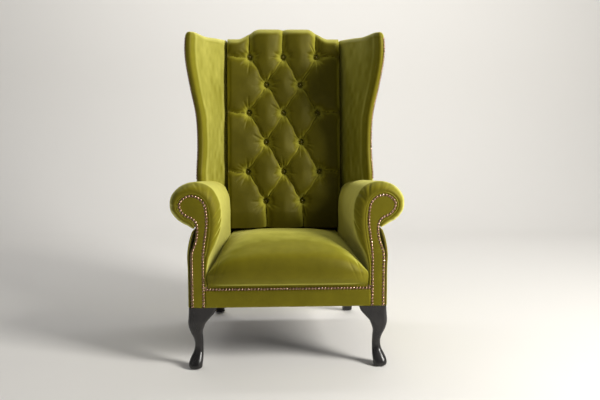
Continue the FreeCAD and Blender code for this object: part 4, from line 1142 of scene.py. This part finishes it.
leg = {
    # share of the height, then inner and outer edges measured in from the body's side, corner radius
    "profile": ((0.0, 0.046, 0.000, 0.016), (0.05, 0.046, -0.003, 0.020), (0.11, 0.048, -0.001, 0.020),
                (0.17, 0.049, 0.005, 0.018), (0.25, 0.049, 0.014, 0.015), (0.38, 0.049, 0.0185, 0.013),
                (0.48, 0.0485, 0.014, 0.014), (0.58, 0.048, 0.005, 0.016), (0.67, 0.054, -0.001, 0.017),
                (0.75, 0.062, -0.003, 0.017), (0.83, 0.078, -0.002, 0.016), (0.93, 0.096, 0.000, 0.012),
                (1.0, 0.101, 0.001, 0.008)),
    "sole": 0.003,
    "forward": 0.004,          # the front legs stand this far forward of the body
    "footReach": 0.012,
    "footTuck": 0.004,
    "rearWidth": ((0.0, 0.043), (0.45, 0.037), (1.0, 0.046)),
    "rearX": 0.2935,
    "rearTopY": 0.259,
    "rearRadius": 0.0055,
    "rearTuck": 0.002,
    "kick": 0.116,
    "rings": 90,
    "sides": 64,
}


def roundedRing(x0, x1, y0, y1, radius, z):
    points = []
    quarter = leg["sides"] // 4
    for cx, cy, start in ((x1 - radius, y1 - radius, 0), (x0 + radius, y1 - radius, 90),
                          (x0 + radius, y0 + radius, 180), (x1 - radius, y0 + radius, 270)):
        for k in range(quarter):
            a = math.radians(start + 90 * k / (quarter - 1))
            points.append((cx + radius * math.cos(a), cy + radius * math.sin(a), z))
    return points


# Sides and corner radius of a front leg's section, at a share of its height
def frontSection(share):
    inner, outer, radius = [float(along([(row[0], row[k]) for row in leg["profile"]], share)) for k in (1, 2, 3)]
    step = leg["footReach"] * max(0.0, 1 - share / 0.25)
    tuck = leg["footTuck"] * (1 - min(share / 0.025, 1.0)) ** 2
    side, front = chair["halfFront"], chair["frontY"] - leg["forward"]
    return (side - inner + tuck, side - outer - tuck, front + outer - step + tuck,
            front + inner - step * 0.4 - tuck, min(radius, (inner - outer) / 2 - 0.001))


def rearSection(share):
    tuck = leg["rearTuck"] * (1 - min(share / 0.02, 1.0)) ** 2
    half = float(along(leg["rearWidth"], share)) / 2 - tuck
    x, y = leg["rearX"], leg["rearTopY"] + leg["kick"] * (1 - share) ** 1.35
    return x - half, x + half, y - half, y + half, leg["rearRadius"]


for side in ("right", "left"):
    for kind, section in (("front", frontSection), ("rear", rearSection)):
        loops = [roundedRing(*section(share), lerp(leg["sole"], chair["legHeight"], share))
                 for share in np.linspace(0, 1, leg["rings"])]
        sidePiece(kind + "Leg", side, loops, (kind + "_leg",), finishes["black_wood"], "black_wood", 60)
print("legs made")


# Finishes of the pieces that stay as they came: part of the name, slot

nodeSlots = (
    ("nails", "nail_bronze"), ("leg_glides", "glide_plastic"), ("leg_bolts", "steel"), ("_leg_", "black_wood"),
    ("springs", "steel"), ("clips", "steel"), ("hessian", "hessian"), ("dust_cover", "dust_cloth"),
    ("webbing", "webbing"), ("twines", "twine"), ("foam", "foam"), ("pad_", "foam"), ("rail", "frame_wood"),
    ("stump", "frame_wood"), ("post", "frame_wood"), ("blocks", "frame_wood"),
)


def dressNodes():
    for name, node in cadNodes.items():
        slot = next((s for part, s in nodeSlots if part in name), "velvet")
        material = finishes[slot]
        if not node.material_slots:
            node.data.materials.append(material)
        for materialSlot in node.material_slots:
            materialSlot.material = material


dressNodes()
print("kept pieces dressed")


# Floor, light and camera

studio = {
    "paper": {"Base Color": (0.76, 0.745, 0.72, 1.0), "Roughness": 0.9, "Specular IOR Level": 0.1},
    # the paper from the side: its two ends as depth and height, and the bend between them
    "front": (-6.0, 0.0),
    "bendStart": 2.2,
    "bendRadius": 1.2,
    "top": (3.4, 6.0),
    "halfWidth": 8.0,
    "sky": {"Color": (0.96, 0.97, 1.0, 1.0), "Strength": 0.17},
    # place, target, size, power, colour
    "lights": {
        "keyWindow": ((2.85, -2.05, 2.35), (0.0, -0.05, 0.72), (1.1, 1.7), 200.0, (1.0, 0.98, 0.93)),
        "fillCard": ((-2.4, -2.4, 1.7), (0.0, 0.0, 0.6), (2.4, 2.0), 4.0, (1.0, 0.98, 0.95)),
        "wallWash": ((0.0, 1.1, 3.4), (0.0, 3.2, 0.6), (4.0, 0.8), 60.0, (1.0, 0.99, 0.97)),
    },
    "cameraPlace": (-0.076, -3.003, 0.986),
    "cameraTurn": (82.1, 0.06, -2.59),
    "lens": 45.0,
}


def studioFloor():
    bend, radius = studio["bendStart"], studio["bendRadius"]
    path = [studio["front"], (bend, 0.0)]
    path += [(bend + radius * math.sin(a), radius - radius * math.cos(a)) for a in np.linspace(0.1, math.pi / 2, 16)]
    path += [studio["top"]]
    verts = [(x, y, z) for y, z in path for x in (-studio["halfWidth"], studio["halfWidth"])]
    faces = [(2 * i, 2 * i + 1, 2 * i + 3, 2 * i + 2) for i in range(len(path) - 1)]
    mesh = bpy.data.meshes.new("studioFloor")
    mesh.from_pydata(verts, [], faces)
    mesh.polygons.foreach_set("use_smooth", [True] * len(mesh.polygons))
    mat, tree, shader = newMaterial("studioPaper")
    setInputs(shader, studio["paper"])
    addBump(tree, shader, [(noise(tree, 900.0, 2.0), 0.05)], 0.0005)
    mesh.materials.append(mat)
    addObject("studioFloor", mesh)


def setLights():
    for name, (place, target, size, power, colour) in studio["lights"].items():
        data = bpy.data.lights.new(name, "AREA")
        data.shape = "RECTANGLE"
        data.size, data.size_y = size
        data.energy = power
        data.color = colour
        obj = addObject(name, data)
        obj.location = place
        obj.rotation_mode = "QUATERNION"
        obj.rotation_quaternion = (Vector(target) - Vector(place)).to_track_quat("-Z", "Y")
    world = bpy.data.worlds.new("studioWorld")
    bpy.context.scene.world = world
    world.use_nodes = True
    setInputs(world.node_tree.nodes["Background"], studio["sky"])


def setCamera():
    data = bpy.data.cameras.new("photoCamera")
    data.sensor_width = 36.0
    data.lens = studio["lens"]
    data.clip_end = 60.0
    cam = addObject("photoCamera", data)
    cam.location = studio["cameraPlace"]
    cam.rotation_euler = Euler([math.radians(turn) for turn in studio["cameraTurn"]], "XYZ")
    bpy.context.scene.camera = cam


studioFloor()
setLights()
setCamera()
bpy.context.scene.view_settings.view_transform = "Standard"
print("studio set")
